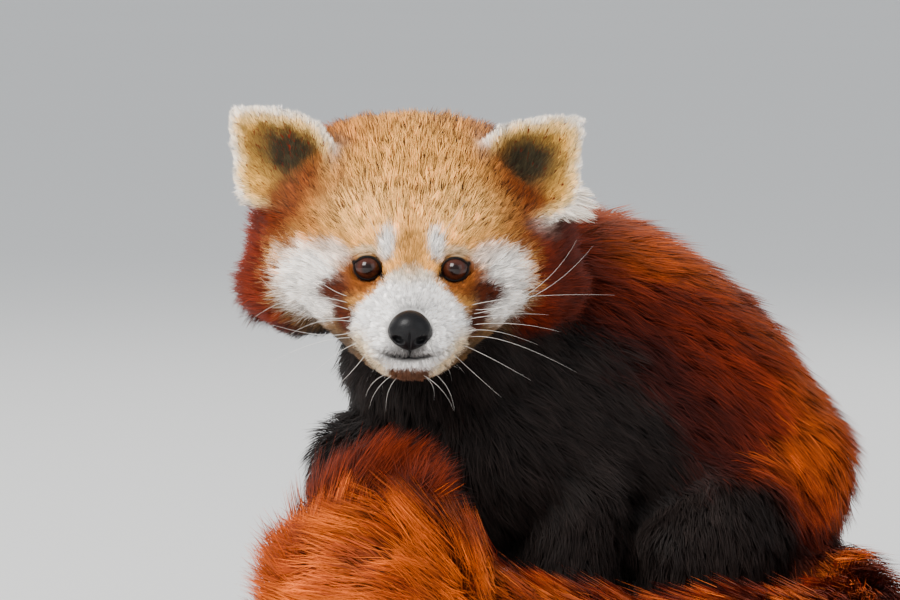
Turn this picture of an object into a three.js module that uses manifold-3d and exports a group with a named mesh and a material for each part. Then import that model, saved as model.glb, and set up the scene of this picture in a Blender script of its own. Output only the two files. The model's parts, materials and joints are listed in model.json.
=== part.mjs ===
// Red panda, life size, hunched on the floor with its face to the front.
// The trunk curls away behind the head to the animal's left, and the tail
// comes forward round the feet, bends in front of the chest and ends there.
// Millimetres, +Z up. The front is towards -Y, and the animal's left is +X.
// Every size reaches out to the tips of the coat.

import * as THREE from 'three';
import { mergeVertices } from 'three/addons/utils/BufferGeometryUtils.js';
import Module from 'manifold-3d';

const wasm = await Module();
wasm.setup();

// Driving dimensions
const SEAM = 0.3;
const EYE_SPACING = 42;
const EYE_RADIUS = 7;
const EYE_SET_BACK = 5.5;
const EYE_HEIGHT = 218;
const FACE_X = -18.6;
const FACE_Y = -45;
const HEAD_PITCH = THREE.MathUtils.degToRad(3);
const HEAD_ROLL = THREE.MathUtils.degToRad(0.8);
const SKULL = { halfWidth: 82, front: 55, back: 47, top: 71, bottom: 36, middle: 52 };
const SKULL_ROUNDNESS = { front: 1.72, back: 2, below: 2.7, square: 2.3 };
const LID_OPENING = { y: -4, halves: [6.6, 8, 6.2] };
const LIP_PAD = { x: 11, y: -29, z: -32, halves: [12, 10, 10] };
const CHEEK_RUFF = { x: 53, y: 56, z: -14, halves: [34, 34, 27] };
const NOSE = { halfWidth: 10.5, halfHeight: 9.6, halfDepth: 8, y: -36, z: -25 };
const NOSE_SHAPE = { widening: 0.12, bow: 0.1, lean: 0.15 };
const EAR = { thickness: 5, cup: 8, middle: [4, 7] };
const TAIL_RADIUS = 35;
const TAIL_BEND_RADIUS = 63;
const SOLE_DIP = 2.5;
const FORE_PAW_HEIGHT = 17;
const CLAW = { length: 15, radius: 2.3, hook: 4, level: 9, spread: THREE.MathUtils.degToRad(15) };
const CLAW_REACH = { front: 28, hind: 16 };
const FUR_ROUGHNESS = 0.95;

// Fineness of the lofts
const CAP_RINGS = 2;
const FLOOR_BLOCK = 1400;

const COLOURS = {
  crown: 0xc98f4e,
  rust: 0x9c3f16,
  dark: 0x1c1614,
  cream: 0xe9dcc0,
  eye: 0x2a140a,
  nose: 0x141214,
  claw: 0xcdbb9c,
  tailRust: 0xa2481a,
  tailGold: 0xcf8434,
};

// Maths helpers

// Catmull-Rom value through evenly spaced values, for t from 0 to 1.
function valueAt(values, t) {
  const last = values.length - 1;
  const place = Math.min(Math.max(t, 0) * last, last - 1e-9);
  const i = Math.floor(place);
  const f = place - i;
  const before = values[Math.max(i - 1, 0)];
  const here = values[i];
  const next = values[i + 1];
  const after = values[Math.min(i + 2, last)];
  const slope = next - before;
  const bend = 2 * before - 5 * here + 4 * next - after;
  const twist = 3 * here - before - 3 * next + after;
  return here + 0.5 * f * (slope + f * (bend + f * twist));
}

// One coordinate of a superellipse, where 2 is round and more is squarer.
function squared(value, square) {
  return Math.sign(value) * Math.abs(value) ** (2 / square);
}

// The share of its full size that a rounded body has at the share u of its length.
function swell(u, power) {
  return Math.max(0, 1 - Math.abs(u) ** power) ** (1 / power);
}

// Closed geometry from rings of equal count, with a point at each end.
function skinned(rings, start, end) {
  const sides = rings[0].length;
  const points = [...rings.flat(), start, end];
  const startIndex = points.length - 2;
  const endIndex = points.length - 1;
  const faces = [];
  rings.slice(1).forEach((ring, i) => {
    ring.forEach((point, j) => {
      const k = (j + 1) % sides;
      const low = i * sides;
      const high = low + sides;
      faces.push(low + j, high + j, high + k, low + j, high + k, low + k);
    });
  });
  const top = (rings.length - 1) * sides;
  for (let j = 0; j < sides; j += 1) {
    const k = (j + 1) % sides;
    faces.push(startIndex, j, k);
    faces.push(endIndex, top + k, top + j);
  }
  const geometry = new THREE.BufferGeometry();
  const values = points.flatMap((point) => point.toArray());
  geometry.setAttribute('position', new THREE.Float32BufferAttribute(values, 3));
  geometry.setIndex(faces);
  return geometry;
}

// Ring of a section that spreads along side and up round its centre.
function ringOf(centre, side, up, size, sides) {
  const ring = [];
  for (let j = 0; j < sides; j += 1) {
    const angle = (2 * Math.PI * j) / sides;
    const across = squared(Math.cos(angle), size.square) * size.wide;
    const rise = Math.sin(angle);
    const lift = squared(rise, size.square) * (rise > 0 ? size.up : size.down);
    ring.push(centre.clone().addScaledVector(side, across).addScaledVector(up, lift));
  }
  return ring;
}

// Body of round sections through stations, with domed ends.
// A station is [x, y, z, half width, half height up, half height down].
function loft(stations, options, grow = 0) {
  const { sides = 12, steps = 2, caps, capRings = CAP_RINGS, square = 2.1, sideways } = options;
  const centres = stations.map((station) => new THREE.Vector3(...station));
  const curve = new THREE.CatmullRomCurve3(centres, false, 'catmullrom');
  const columns = [3, 4, 5].map((column) => stations.map((s) => s[column]));
  const frameAt = (t) => {
    const along = curve.getTangent(t);
    const level = along.clone().cross(new THREE.Vector3(0, 0, 1));
    const side = sideways ? new THREE.Vector3(...sideways) : level;
    side.addScaledVector(along, -side.dot(along)).normalize();
    const [wide, up, down] = columns.map((values) => valueAt(values, t) + grow);
    return { along, side, rise: side.clone().cross(along), centre: curve.getPoint(t), wide, up, down };
  };
  const ringAt = (frame, shrink, shift) => {
    const centre = frame.centre.clone().addScaledVector(frame.along, shift);
    const { wide, up, down } = frame;
    const size = { wide: wide * shrink, up: up * shrink, down: down * shrink, square };
    return ringOf(centre, frame.side, frame.rise, size, sides);
  };
  const capLength = (frame, share) => share * Math.min(frame.wide, (frame.up + frame.down) / 2);
  const rings = [];
  const first = frameAt(0);
  const last = frameAt(1);
  const firstCap = capLength(first, caps[0]);
  const lastCap = capLength(last, caps[1]);
  for (let i = capRings; i > 0; i -= 1) {
    const angle = (Math.PI / 2) * (i / (capRings + 1));
    rings.push(ringAt(first, Math.cos(angle), -firstCap * Math.sin(angle)));
  }
  const spans = (stations.length - 1) * steps;
  for (let i = 0; i <= spans; i += 1) {
    rings.push(ringAt(frameAt(i / spans), 1, 0));
  }
  for (let i = 1; i <= capRings; i += 1) {
    const angle = (Math.PI / 2) * (i / (capRings + 1));
    rings.push(ringAt(last, Math.cos(angle), lastCap * Math.sin(angle)));
  }
  const start = first.centre.clone().addScaledVector(first.along, -firstCap);
  const end = last.centre.clone().addScaledVector(last.along, lastCap);
  return skinned(rings, start, end);
}

function asSolid(geometry) {
  const plain = geometry.clone();
  plain.deleteAttribute('normal');
  plain.deleteAttribute('uv');
  const merged = mergeVertices(plain, 1e-4);
  const vertProperties = new Float32Array(merged.attributes.position.array);
  const triVerts = new Uint32Array(merged.index.array);
  return new wasm.Manifold(new wasm.Mesh({ numProp: 3, vertProperties, triVerts }));
}

function joined(solids) {
  return solids.reduce((whole, next) => whole.add(next));
}

function asGeometry(solid) {
  const mesh = solid.getMesh();
  const geometry = new THREE.BufferGeometry();
  const positions = [];
  for (let i = 0; i < mesh.vertProperties.length; i += mesh.numProp) {
    positions.push(...mesh.vertProperties.slice(i, i + 3));
  }
  geometry.setAttribute('position', new THREE.Float32BufferAttribute(positions, 3));
  geometry.setIndex([...mesh.triVerts]);
  geometry.computeVertexNormals();
  return geometry;
}

// Ellipsoid with its centre and half sizes, for the small round forms.
function ellipsoid(centre, halves, segments, grow = 0) {
  const geometry = new THREE.SphereGeometry(1, ...segments);
  geometry.rotateX(Math.PI / 2);
  geometry.scale(...halves.map((half) => half + grow));
  geometry.translate(...centre);
  return geometry;
}

// Head frame: its origin is midway between the eyes, with the face to -Y
const headFrame = new THREE.Matrix4().compose(
  new THREE.Vector3(FACE_X, FACE_Y, EYE_HEIGHT),
  new THREE.Quaternion().setFromEuler(new THREE.Euler(HEAD_PITCH, HEAD_ROLL, 0)),
  new THREE.Vector3(1, 1, 1),
);

function onHead(geometry) {
  return asSolid(geometry.applyMatrix4(headFrame));
}

// Eyes

function eye(side, grow) {
  const centre = [(side * EYE_SPACING) / 2, EYE_SET_BACK, 0];
  return onHead(ellipsoid(centre, [EYE_RADIUS, EYE_RADIUS, EYE_RADIUS], [12, 7], grow));
}

// Nose leather, wide above and drawn in below

function nose(grow) {
  const halves = [NOSE.halfWidth, NOSE.halfDepth, NOSE.halfHeight];
  const geometry = ellipsoid([0, 0, 0], halves, [12, 8], grow);
  const { widening, bow, lean } = NOSE_SHAPE;
  const place = geometry.attributes.position;
  for (let i = 0; i < place.count; i += 1) {
    const level = place.getZ(i) / NOSE.halfHeight;
    place.setX(i, place.getX(i) * (1 + widening * level - bow * level * level));
    place.setY(i, place.getY(i) * (1 + lean * level));
  }
  geometry.translate(0, NOSE.y, NOSE.z);
  return onHead(geometry);
}

// Head: the domed skull with its cheeks, the muzzle, the lip pads and the chin

function skull(grow) {
  const sides = 24;
  const slices = 12;
  const rings = [];
  for (let i = 1; i < slices; i += 1) {
    const angle = (Math.PI * i) / slices;
    const u = -Math.cos(angle);
    const reach = (u < 0 ? SKULL.front : SKULL.back) + grow;
    const roundness = u < 0 ? SKULL_ROUNDNESS.front : SKULL_ROUNDNESS.back;
    const size = {
      wide: (SKULL.halfWidth + grow) * swell(u, roundness),
      up: (SKULL.top + grow) * swell(u, roundness),
      down: (SKULL.bottom + grow) * swell(u, SKULL_ROUNDNESS.below),
      square: SKULL_ROUNDNESS.square,
    };
    const centre = new THREE.Vector3(0, SKULL.middle + u * reach, 0);
    rings.push(ringOf(centre, new THREE.Vector3(1, 0, 0), new THREE.Vector3(0, 0, 1), size, sides));
  }
  const start = new THREE.Vector3(0, SKULL.middle - SKULL.front - grow, 0);
  const end = new THREE.Vector3(0, SKULL.middle + SKULL.back + grow, 0);
  return skinned(rings, start, end);
}

function muzzle(grow) {
  const stations = [
    [0, -33, -28, 18, 11, 12],
    [0, -24, -27, 25, 15, 16],
    [0, -12, -26, 33, 19, 19],
    [0, 2, -22, 42, 24, 22],
    [0, 18, -20, 50, 28, 22],
  ];
  return loft(stations, { sides: 18, steps: 1, caps: [0.4, 0.4], capRings: 1 }, grow);
}

function chin(grow) {
  const stations = [
    [0, -26, -44, 12, 8, 7],
    [0, -14, -43, 19, 11, 9],
    [0, 2, -40, 28, 12, 11],
    [0, 24, -34, 38, 14, 13],
  ];
  return loft(stations, { steps: 1, caps: [0.6, 0.5], capRings: 1, square: 2.2 }, grow);
}

// One of a pair of round forms, on the given side of the face.
function paired({ x, y, z, halves }, side, segments, grow) {
  return ellipsoid([side * x, y, z], halves, segments, grow);
}

function head(grow) {
  const pads = [-1, 1].map((side) => paired(LIP_PAD, side, [8, 6], grow));
  const ruffs = [-1, 1].map((side) => paired(CHEEK_RUFF, side, [12, 7], grow));
  const forms = [skull(grow), muzzle(grow), chin(grow), ...pads, ...ruffs];
  const flesh = joined(forms.map((form) => onHead(form)));
  if (grow > 0) return flesh;
  const openings = [-1, 1].map((side) => {
    const centre = [(side * EYE_SPACING) / 2, LID_OPENING.y, 0];
    return onHead(ellipsoid(centre, LID_OPENING.halves, [12, 7]));
  });
  return openings.reduce((solid, opening) => solid.subtract(opening), flesh);
}

// Ears: rounded squares with the corner up and outward, cupped to the front

const EARS = {
  left: { side: 1, at: [54, 24, 39], turn: 14, tilt: 20 },
  right: { side: -1, at: [-59, 25, 40], turn: 12, tilt: 4 },
};

// The outline, outward and up from the middle of the ear's base
const EAR_OUTLINE = [[33, 33], [10, 35], [-15, 27], [-25, 8], [-20, -14], [12, -20], [26, -12], [30, 10]];

function ear({ side, at, turn, tilt }, grow) {
  const corners = EAR_OUTLINE.map(([out, up]) => new THREE.Vector3(out, 0, up));
  const edge = new THREE.CatmullRomCurve3(corners, true).getSpacedPoints(16).slice(1);
  const turned = side > 0 ? edge : edge.toReversed();
  const middle = new THREE.Vector3(EAR.middle[0], 0, EAR.middle[1]);
  const outline = (share, y) => turned.map((point) => {
    const spoke = point.clone().sub(middle);
    const reach = (spoke.length() + grow) * share;
    const place = spoke.setLength(reach).add(middle);
    return new THREE.Vector3(side * place.x, y, place.z);
  });
  const cupAt = (share) => EAR.cup * (1 - share * share);
  const thick = EAR.thickness + grow;
  const spread = [0.45, 0.85];
  const rings = [
    ...spread.map((share) => outline(share, cupAt(share) - thick / 2)),
    outline(1, 0),
    ...spread.toReversed().map((share) => outline(share, cupAt(share) + thick)),
  ];
  const front = new THREE.Vector3(side * EAR.middle[0], EAR.cup - thick / 2, EAR.middle[1]);
  const back = front.clone().setY(EAR.cup + thick);
  const geometry = skinned(rings, front, back);
  geometry.rotateX(THREE.MathUtils.degToRad(-tilt));
  geometry.rotateZ(THREE.MathUtils.degToRad(side * turn));
  geometry.translate(...at);
  return onHead(geometry);
}

// Neck and trunk

function neck(grow) {
  const stations = [
    [-14, 6, 184, 46, 44, 42],
    [-4, 32, 178, 57, 54, 56],
    [12, 60, 166, 70, 64, 60],
  ];
  return asSolid(loft(stations, { sides: 18, caps: [0.5, 0.5], capRings: 1 }, grow));
}

function trunk(grow) {
  const stations = [
    [-4, 28, 133, 57, 52, 66],
    [8, 47, 135, 68, 80, 74],
    [28, 72, 137, 76, 108, 77],
    [58, 98, 133, 80, 112, 75],
    [90, 117, 119, 81, 102, 70],
    [122, 127, 98, 78, 92, 62],
    [153, 128, 78, 67, 78, 54],
  ];
  return asSolid(loft(stations, { sides: 18, caps: [0.6, 0.7] }, grow));
}

// Legs: the fore ones bear on the wrists, the hind ones are folded under the flanks

const FORE_LEGS = {
  left: { x: 50, y: 4, splay: 8 },
  right: { x: -36, y: 6, splay: -5 },
};

function foreLeg({ x, y, splay }, grow) {
  const stations = [
    [x + splay * 0.6, y + 34, 124, 33, 30, 30],
    [x + splay, y + 30, 88, 31, 32, 30],
    [x + splay * 0.6, y + 18, 50, 26, 26, 25],
    [x, y + 4, 26, 24, 20, 20],
  ];
  return asSolid(loft(stations, { caps: [0.6, 0.5], capRings: 1, sideways: [1, 0, 0] }, grow));
}

function forePaw({ x, y }, grow) {
  const height = FORE_PAW_HEIGHT;
  const toeHeight = height - 3;
  const stations = [
    [x, y + 14, height - SOLE_DIP, 19, 16, height],
    [x, y - 2, height - SOLE_DIP, 24, 17, height],
    [x, y - 20, toeHeight - SOLE_DIP, 25, 14, toeHeight],
  ];
  return asSolid(loft(stations, { steps: 1, caps: [0.6, 0.62], square: 2.4 }, grow));
}

const HIND_LEGS = {
  left: {
    hip: [148, 76, 80],
    knee: [110, 44, 66],
    heel: [148, 48, 16],
    toe: [102, 26, 13],
    lean: [0.45, -0.9, 0],
  },
  right: {
    hip: [118, 168, 80],
    knee: [60, 166, 68],
    heel: [98, 180, 16],
    toe: [42, 170, 13],
    lean: [-0.2, 0.98, 0],
  },
};

function hindLeg({ hip, knee, heel, lean }, grow) {
  const mid = hip.map((value, i) => (value + knee[i]) / 2);
  const thigh = [
    [...hip, 32, 54, 50],
    [mid[0], mid[1], mid[2] - 2, 37, 54, 50],
    [...knee, 28, 36, 36],
  ];
  const shank = [
    [knee[0] + 4, knee[1], knee[2] - 14, 23, 24, 24],
    [(knee[0] + heel[0]) / 2, (knee[1] + heel[1]) / 2, 42, 22, 22, 22],
    [heel[0] - 4, heel[1], heel[2] + 6, 19, 17, 17],
  ];
  const forms = [
    loft(thigh, { caps: [0.8, 0.8], sideways: lean }, grow),
    loft(shank, { sides: 10, steps: 1, caps: [0.5, 0.5], capRings: 1, sideways: lean }, grow),
  ];
  return joined(forms.map((form) => asSolid(form)));
}

function hindPaw({ heel, toe }, grow) {
  const mid = heel.map((value, i) => (value + toe[i]) / 2);
  const stations = [
    [heel[0], heel[1], heel[2] - SOLE_DIP, 17, 15, heel[2]],
    [mid[0], mid[1], mid[2] - SOLE_DIP, 21, 16, mid[2]],
    [toe[0], toe[1], toe[2] - SOLE_DIP, 23, 13, toe[2]],
  ];
  return asSolid(loft(stations, { steps: 1, caps: [0.7, 0.6], square: 2.4 }, grow));
}

// Claws: five short hooks along the front of a paw

function claw({ x, y, heading, fan, reach }) {
  const turned = heading + fan;
  const forward = new THREE.Vector3(Math.cos(turned), Math.sin(turned), 0);
  const base = new THREE.Vector3(x, y, 0).addScaledVector(forward, reach - CLAW.length);
  const at = (share) => {
    const place = base.clone().addScaledVector(forward, CLAW.length * share);
    return place.setZ(CLAW.level - CLAW.hook * share * share).toArray();
  };
  const sized = (share, size) => [...at(share), size * 0.7, size, size];
  const stations = [sized(0, CLAW.radius), sized(0.65, CLAW.radius * 0.75)];
  return asSolid(loft(stations, { sides: 6, steps: 1, caps: [0.2, 3.2], capRings: 0 }));
}

// Tail: a few lengths round the feet, thickest where it bends before the chest

const TAIL_LENGTHS = {
  tail_root: [
    [176, 96, 60, 30, 30, 30],
    [200, 56, 44, 32, 32, 32],
    [190, 10, 34, 33, 33, 34],
  ],
  tail_side: [
    [188, 6, TAIL_RADIUS - SOLE_DIP, 33, 33, TAIL_RADIUS],
    [150, -30, TAIL_RADIUS - SOLE_DIP, 34, 34, TAIL_RADIUS],
    [100, -56, TAIL_RADIUS - SOLE_DIP, 35, 35, TAIL_RADIUS],
  ],
  tail_front: [
    [96, -58, TAIL_RADIUS - SOLE_DIP, 35, 35, TAIL_RADIUS],
    [56, -76, 39 - SOLE_DIP, 39, 39, 39],
    [20, -94, 44 - SOLE_DIP, 44, 44, 44],
  ],
  tail_bend: [
    [8, -100, 48 - SOLE_DIP, 46, 49, 48],
    [-26, -105, TAIL_BEND_RADIUS - SOLE_DIP, 58, TAIL_BEND_RADIUS, TAIL_BEND_RADIUS],
    [-54, -102, 60 - SOLE_DIP, 52, 55, 60],
  ],
  tail_tip: [
    [-50, -80, 82, 36, 36, 42],
    [-38, -60, 99, 37, 37, 38],
    [-24, -46, 106, 30, 34, 36],
  ],
};

const TAIL_CAPS = {
  tail_root: [0.3, 0.4],
  tail_side: [0.4, 0.4],
  tail_front: [0.4, 0.4],
  tail_bend: [0.4, 0.75],
  tail_tip: [0.5, 0.9],
};

function tailLength(name, grow) {
  const capRings = name === 'tail_tip' ? 2 : 1;
  return asSolid(loft(TAIL_LENGTHS[name], { sides: 13, caps: TAIL_CAPS[name], capRings }, grow));
}

// The parts in their order: each one gives way to those before it

const parts = [];

function addPart(name, colour, roughness, shape) {
  parts.push({ name, colour, roughness, shape });
}

for (const [name, side] of [['eye_left', 1], ['eye_right', -1]]) {
  addPart(name, COLOURS.eye, 0.08, (grow) => eye(side, grow));
}
addPart('nose', COLOURS.nose, 0.4, nose);
addPart('head', COLOURS.crown, FUR_ROUGHNESS, head);
for (const [name, pose] of Object.entries(EARS)) {
  addPart(`ear_${name}`, COLOURS.cream, FUR_ROUGHNESS, (grow) => ear(pose, grow));
}
addPart('neck', COLOURS.rust, FUR_ROUGHNESS, neck);
addPart('trunk', COLOURS.rust, FUR_ROUGHNESS, trunk);
for (const [name, pose] of Object.entries(FORE_LEGS)) {
  addPart(`paw_front_${name}`, COLOURS.dark, FUR_ROUGHNESS, (grow) => forePaw(pose, grow));
  addPart(`leg_front_${name}`, COLOURS.dark, FUR_ROUGHNESS, (grow) => foreLeg(pose, grow));
}
for (const [name, pose] of Object.entries(HIND_LEGS)) {
  addPart(`paw_hind_${name}`, COLOURS.dark, FUR_ROUGHNESS, (grow) => hindPaw(pose, grow));
  addPart(`leg_hind_${name}`, COLOURS.dark, FUR_ROUGHNESS, (grow) => hindLeg(pose, grow));
}
Object.keys(TAIL_LENGTHS).forEach((name, i) => {
  const colour = i % 2 ? COLOURS.tailGold : COLOURS.tailRust;
  addPart(name, colour, FUR_ROUGHNESS, (grow) => tailLength(name, grow));
});

function addClaws(paw, x, y, heading, reach) {
  [-2, -1, 0, 1, 2].forEach((step, i) => {
    const pose = { x, y, heading, fan: step * CLAW.spread, reach: reach - Math.abs(step) * 0.6 };
    addPart(`claw_${paw}_${i + 1}`, COLOURS.claw, 0.35, () => claw(pose));
  });
}

for (const [name, { x, y }] of Object.entries(FORE_LEGS)) {
  addClaws(`front_${name}`, x, y - 10, -Math.PI / 2, CLAW_REACH.front);
}
for (const [name, { heel, toe }] of Object.entries(HIND_LEGS)) {
  const heading = Math.atan2(toe[1] - heel[1], toe[0] - heel[0]);
  addClaws(`hind_${name}`, toe[0], toe[1], heading, CLAW_REACH.hind);
}

// Floor that the soles and the tail rest on
const floorBox = new THREE.BoxGeometry(FLOOR_BLOCK, FLOOR_BLOCK, FLOOR_BLOCK);
floorBox.translate(0, 0, -FLOOR_BLOCK / 2);
const floor = asSolid(floorBox);

function near(a, b) {
  return [0, 1, 2].every((i) => a.min[i] < b.max[i] && b.min[i] < a.max[i]);
}

const animal = new THREE.Group();
const grown = [];
for (const part of parts) {
  let body = part.shape(0);
  const box = body.boundingBox();
  for (const other of grown) {
    if (near(box, other.box)) body = body.subtract(other.solid);
  }
  body = body.subtract(floor);
  const { colour: color, roughness } = part;
  const material = new THREE.MeshStandardMaterial({ color, roughness, metalness: 0 });
  const mesh = new THREE.Mesh(asGeometry(body), material);
  mesh.name = part.name;
  animal.add(mesh);
  const solid = part.shape(SEAM);
  grown.push({ solid, box: solid.boundingBox() });
}

// Origin: the middle of the floor under the animal
const extent = new THREE.Box3().setFromObject(animal);
animal.position.set(-(extent.min.x + extent.max.x) / 2, -(extent.min.y + extent.max.y) / 2, 0);

const redPanda = new THREE.Group();
redPanda.add(animal);

export default redPanda;
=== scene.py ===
"""Red panda at life size: its skin, coat, eyes, nose, claws and whiskers, in metres."""

import json
import math
from collections import namedtuple

import bmesh
import bpy
import numpy as np
from mathutils import Matrix, Vector
from mathutils.bvhtree import BVHTree

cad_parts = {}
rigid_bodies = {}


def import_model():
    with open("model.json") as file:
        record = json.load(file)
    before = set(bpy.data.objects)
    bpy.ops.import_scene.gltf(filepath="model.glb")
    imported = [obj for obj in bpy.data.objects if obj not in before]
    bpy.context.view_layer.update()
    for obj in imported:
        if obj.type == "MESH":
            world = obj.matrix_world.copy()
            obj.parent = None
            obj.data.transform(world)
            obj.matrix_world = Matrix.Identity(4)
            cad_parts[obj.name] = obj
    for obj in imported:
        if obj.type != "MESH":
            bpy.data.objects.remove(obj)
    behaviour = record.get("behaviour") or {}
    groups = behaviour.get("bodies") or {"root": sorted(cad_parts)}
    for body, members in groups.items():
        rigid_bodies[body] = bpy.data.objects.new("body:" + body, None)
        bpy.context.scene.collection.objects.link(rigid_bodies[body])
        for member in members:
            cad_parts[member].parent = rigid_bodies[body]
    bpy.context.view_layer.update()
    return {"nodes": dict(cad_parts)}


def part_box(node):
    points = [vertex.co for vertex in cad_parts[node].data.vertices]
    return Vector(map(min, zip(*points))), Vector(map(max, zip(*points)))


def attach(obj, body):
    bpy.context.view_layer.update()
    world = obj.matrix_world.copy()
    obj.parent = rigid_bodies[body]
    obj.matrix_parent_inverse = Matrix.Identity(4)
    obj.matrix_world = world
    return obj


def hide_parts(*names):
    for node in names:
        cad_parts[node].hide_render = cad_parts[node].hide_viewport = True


bl_info = {
    "name": "Red panda",
    "version": (1, 0, 0),
    "blender": (4, 5, 0),
    "location": "3D View > Sidebar > Red panda",
    "description": "Skin, coat, eyes, nose, claws and whiskers of a life-size red panda",
    "category": "Object",
}

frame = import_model()

MM = 0.001
HEAD_PITCH = math.radians(3)
HEAD_ROLL = math.radians(0.8)

# The eyes, lids and nose, in mm from between the eyes.
EYE_X = 21.0
EYE_Y = 5.5
EYE_RADIUS = 7.0
EYE_SIDES = 48
LID_HALF = (5.9, 5.3)
NOSE_MIDDLE = (0.0, -36.0, -25.0)
NOSE_HALVES = (10.5, 8.0, 9.6)

# The flesh solids grow by OVERLAP so that they meet. The skin's soles and the lowest hairs stay
# off the floor.
OVERLAP = 0.4 * MM
SOLE = 0.5 * MM
FLOOR_GAP = 0.3 * MM

# A lock bends in LOCK_STEPS parts, with three triangles in all, and takes a PATCH of the OFBake
# layout. A piece of coat has at most MOST_LOCKS.
LOCK_STEPS = 2
PATCH = 0.003
MOST_LOCKS = 60000

# The photograph at the face: its scale, its width, the rise of the camera above the head, and
# the middle of the picture from between the eyes, in mm.
MM_PER_PIXEL = 0.48
PHOTO_WIDTH = 900
CAMERA_RISE = math.radians(4)
PICTURE_MIDDLE = (18.6, 0, -15.6)

# The first word of a node's name is its kind of flesh.
NODES = [
    "head", "ear_left", "ear_right", "neck", "trunk",
    "leg_front_left", "leg_front_right", "leg_hind_left", "leg_hind_right",
    "paw_front_left", "paw_front_right", "paw_hind_left", "paw_hind_right",
    "tail_root", "tail_side", "tail_front", "tail_bend", "tail_tip",
]
FLESH = {node: node.split("_")[0] for node in NODES}

# Evenness is how far the skin is smoothed. Depth, length, width and clump are in mm, and
# density is in hairs per square mm.
Coat = namedtuple("Coat", "evenness depth length width density clump")
COAT = {
    "head": Coat(0.25, 4.5, 11.0, 0.44, 3.0, 3.6),
    "ear": Coat(0.16, 1.3, 4.6, 0.36, 5.0, 3.0),
    "neck": Coat(0.6, 11.0, 24.0, 0.62, 1.0, 8.0),
    "trunk": Coat(0.6, 13.0, 27.0, 0.68, 0.85, 9.0),
    "leg": Coat(0.5, 6.5, 15.0, 0.55, 1.1, 6.0),
    "paw": Coat(0.2, 2.4, 5.0, 0.38, 2.6, 3.0),
    "tail": Coat(0.6, 19.0, 37.0, 0.68, 0.95, 8.5),
}

# Each ear's side, its base on the head in mm, and its turn and tilt in degrees.
EARS = {
    "ear_left": (1, (54.0, 24.0, 39.0), 14.0, 20.0),
    "ear_right": (-1, (-59.0, 25.0, 40.0), 12.0, 4.0),
}
# Corners of the ear's outline, the middle that they are seen from, and the dark patch inside:
# its middle, its half sizes and its turn.
EAR_OUTLINE = ((33, 33), (10, 35), (-15, 27), (-25, 8), (-20, -14), (12, -20), (26, -12), (30, 10))
EAR_MIDDLE = (4.0, 7.0)
EAR_PATCH = {
    "ear_left": ((3.5, 13.0), (16.5, 13.5), 0.0),
    "ear_right": ((1.5, 12.5), (20.0, 14.0), 25.0),
}

# Routes along the back and the tail, in mm, on axes whose face starts at FACE_START.
FACE_START = np.array([-18.6, -45.0, 218.0])
SPINE = (
    (-14, 6, 184), (0, 40, 170), (28, 72, 150), (58, 98, 136), (90, 117, 119), (122, 127, 98),
    (153, 128, 78), (176, 112, 64),
)
TAIL = (
    (168, 112, 64), (176, 96, 60), (200, 56, 44), (190, 8, 34), (150, -30, 33), (98, -57, 34),
    (56, -76, 37), (14, -97, 44), (-26, -105, 60), (-54, -102, 66), (-60, -88, 76), (-40, -62, 99),
    (-20, -44, 106), (6, -34, 107),
)

# Spacing of the tail's rings and the longest tuft at the corner of each ear, in mm.
RING_SPACING = 46.0
TUFT = {"ear_left": 13.0, "ear_right": 3.0}

# The fan of the toes, the folds between them, and the way that the hair runs on each paw.
TOES_SPREAD = math.radians(30)
TOE_GAPS = np.radians([-22.5, -7.5, 7.5, 22.5])
PAW_WAYS = {
    "paw_front_left": (0.0, -0.93, -0.35),
    "paw_front_right": (0.0, -0.93, -0.35),
    "paw_hind_left": (-46.0, -22.0, -12.0),
    "paw_hind_right": (-56.0, -10.0, -12.0),
}


# Places and shapes


def middle_of(node):
    low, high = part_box(node)
    return (np.array(low) + np.array(high)) / 2


HEAD_TURN = np.array(Matrix.Rotation(HEAD_PITCH, 3, "X") @ Matrix.Rotation(HEAD_ROLL, 3, "Y"))
EYES_MIDDLE = (middle_of("eye_left") + middle_of("eye_right")) / 2
FACE = EYES_MIDDLE - HEAD_TURN @ np.array([0.0, EYE_Y * MM, 0.0])


def to_head(points):
    """Millimetres from between the eyes, with x to the animal's left and the face to -y."""
    return ((points - FACE) @ HEAD_TURN) / MM


def from_head(points):
    return (np.asarray(points, float) * MM) @ HEAD_TURN.T + FACE


def from_route(points):
    return (np.asarray(points, float) - FACE_START) * MM + FACE


def unit(vectors):
    size = np.linalg.norm(vectors, axis=1, keepdims=True)
    return vectors / np.maximum(size, 1e-12)


def smooth(value, low, high):
    t = np.clip((value - low) / (high - low), 0.0, 1.0)
    return t * t * (3 - 2 * t)


def turns(count):
    """Even angles once round."""
    return [2 * math.pi * k / count for k in range(count)]


def bell(value, width):
    return np.exp(-((value / width) ** 2))


def spot(x, z, centre, halves, turn=0.0, edge=0.35):
    """1 inside a turned ellipse and 0 outside, with a soft edge."""
    a = math.radians(turn)
    dx, dz = x - centre[0], z - centre[1]
    u = (dx * math.cos(a) + dz * math.sin(a)) / halves[0]
    v = (-dx * math.sin(a) + dz * math.cos(a)) / halves[1]
    return 1 - smooth(np.hypot(u, v), 1 - edge, 1 + edge)


def ripple(points, scale, seed):
    """Smooth noise from -1 to 1 with waves about scale millimetres long."""
    rng = np.random.default_rng(seed)
    total = np.zeros(len(points))
    for _ in range(6):
        way = rng.normal(size=3)
        way *= rng.uniform(0.6, 1.5) / (np.linalg.norm(way) * scale * MM)
        total += np.sin(2 * math.pi * (points @ way) + rng.uniform(0, 2 * math.pi))
    return total / 3


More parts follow.
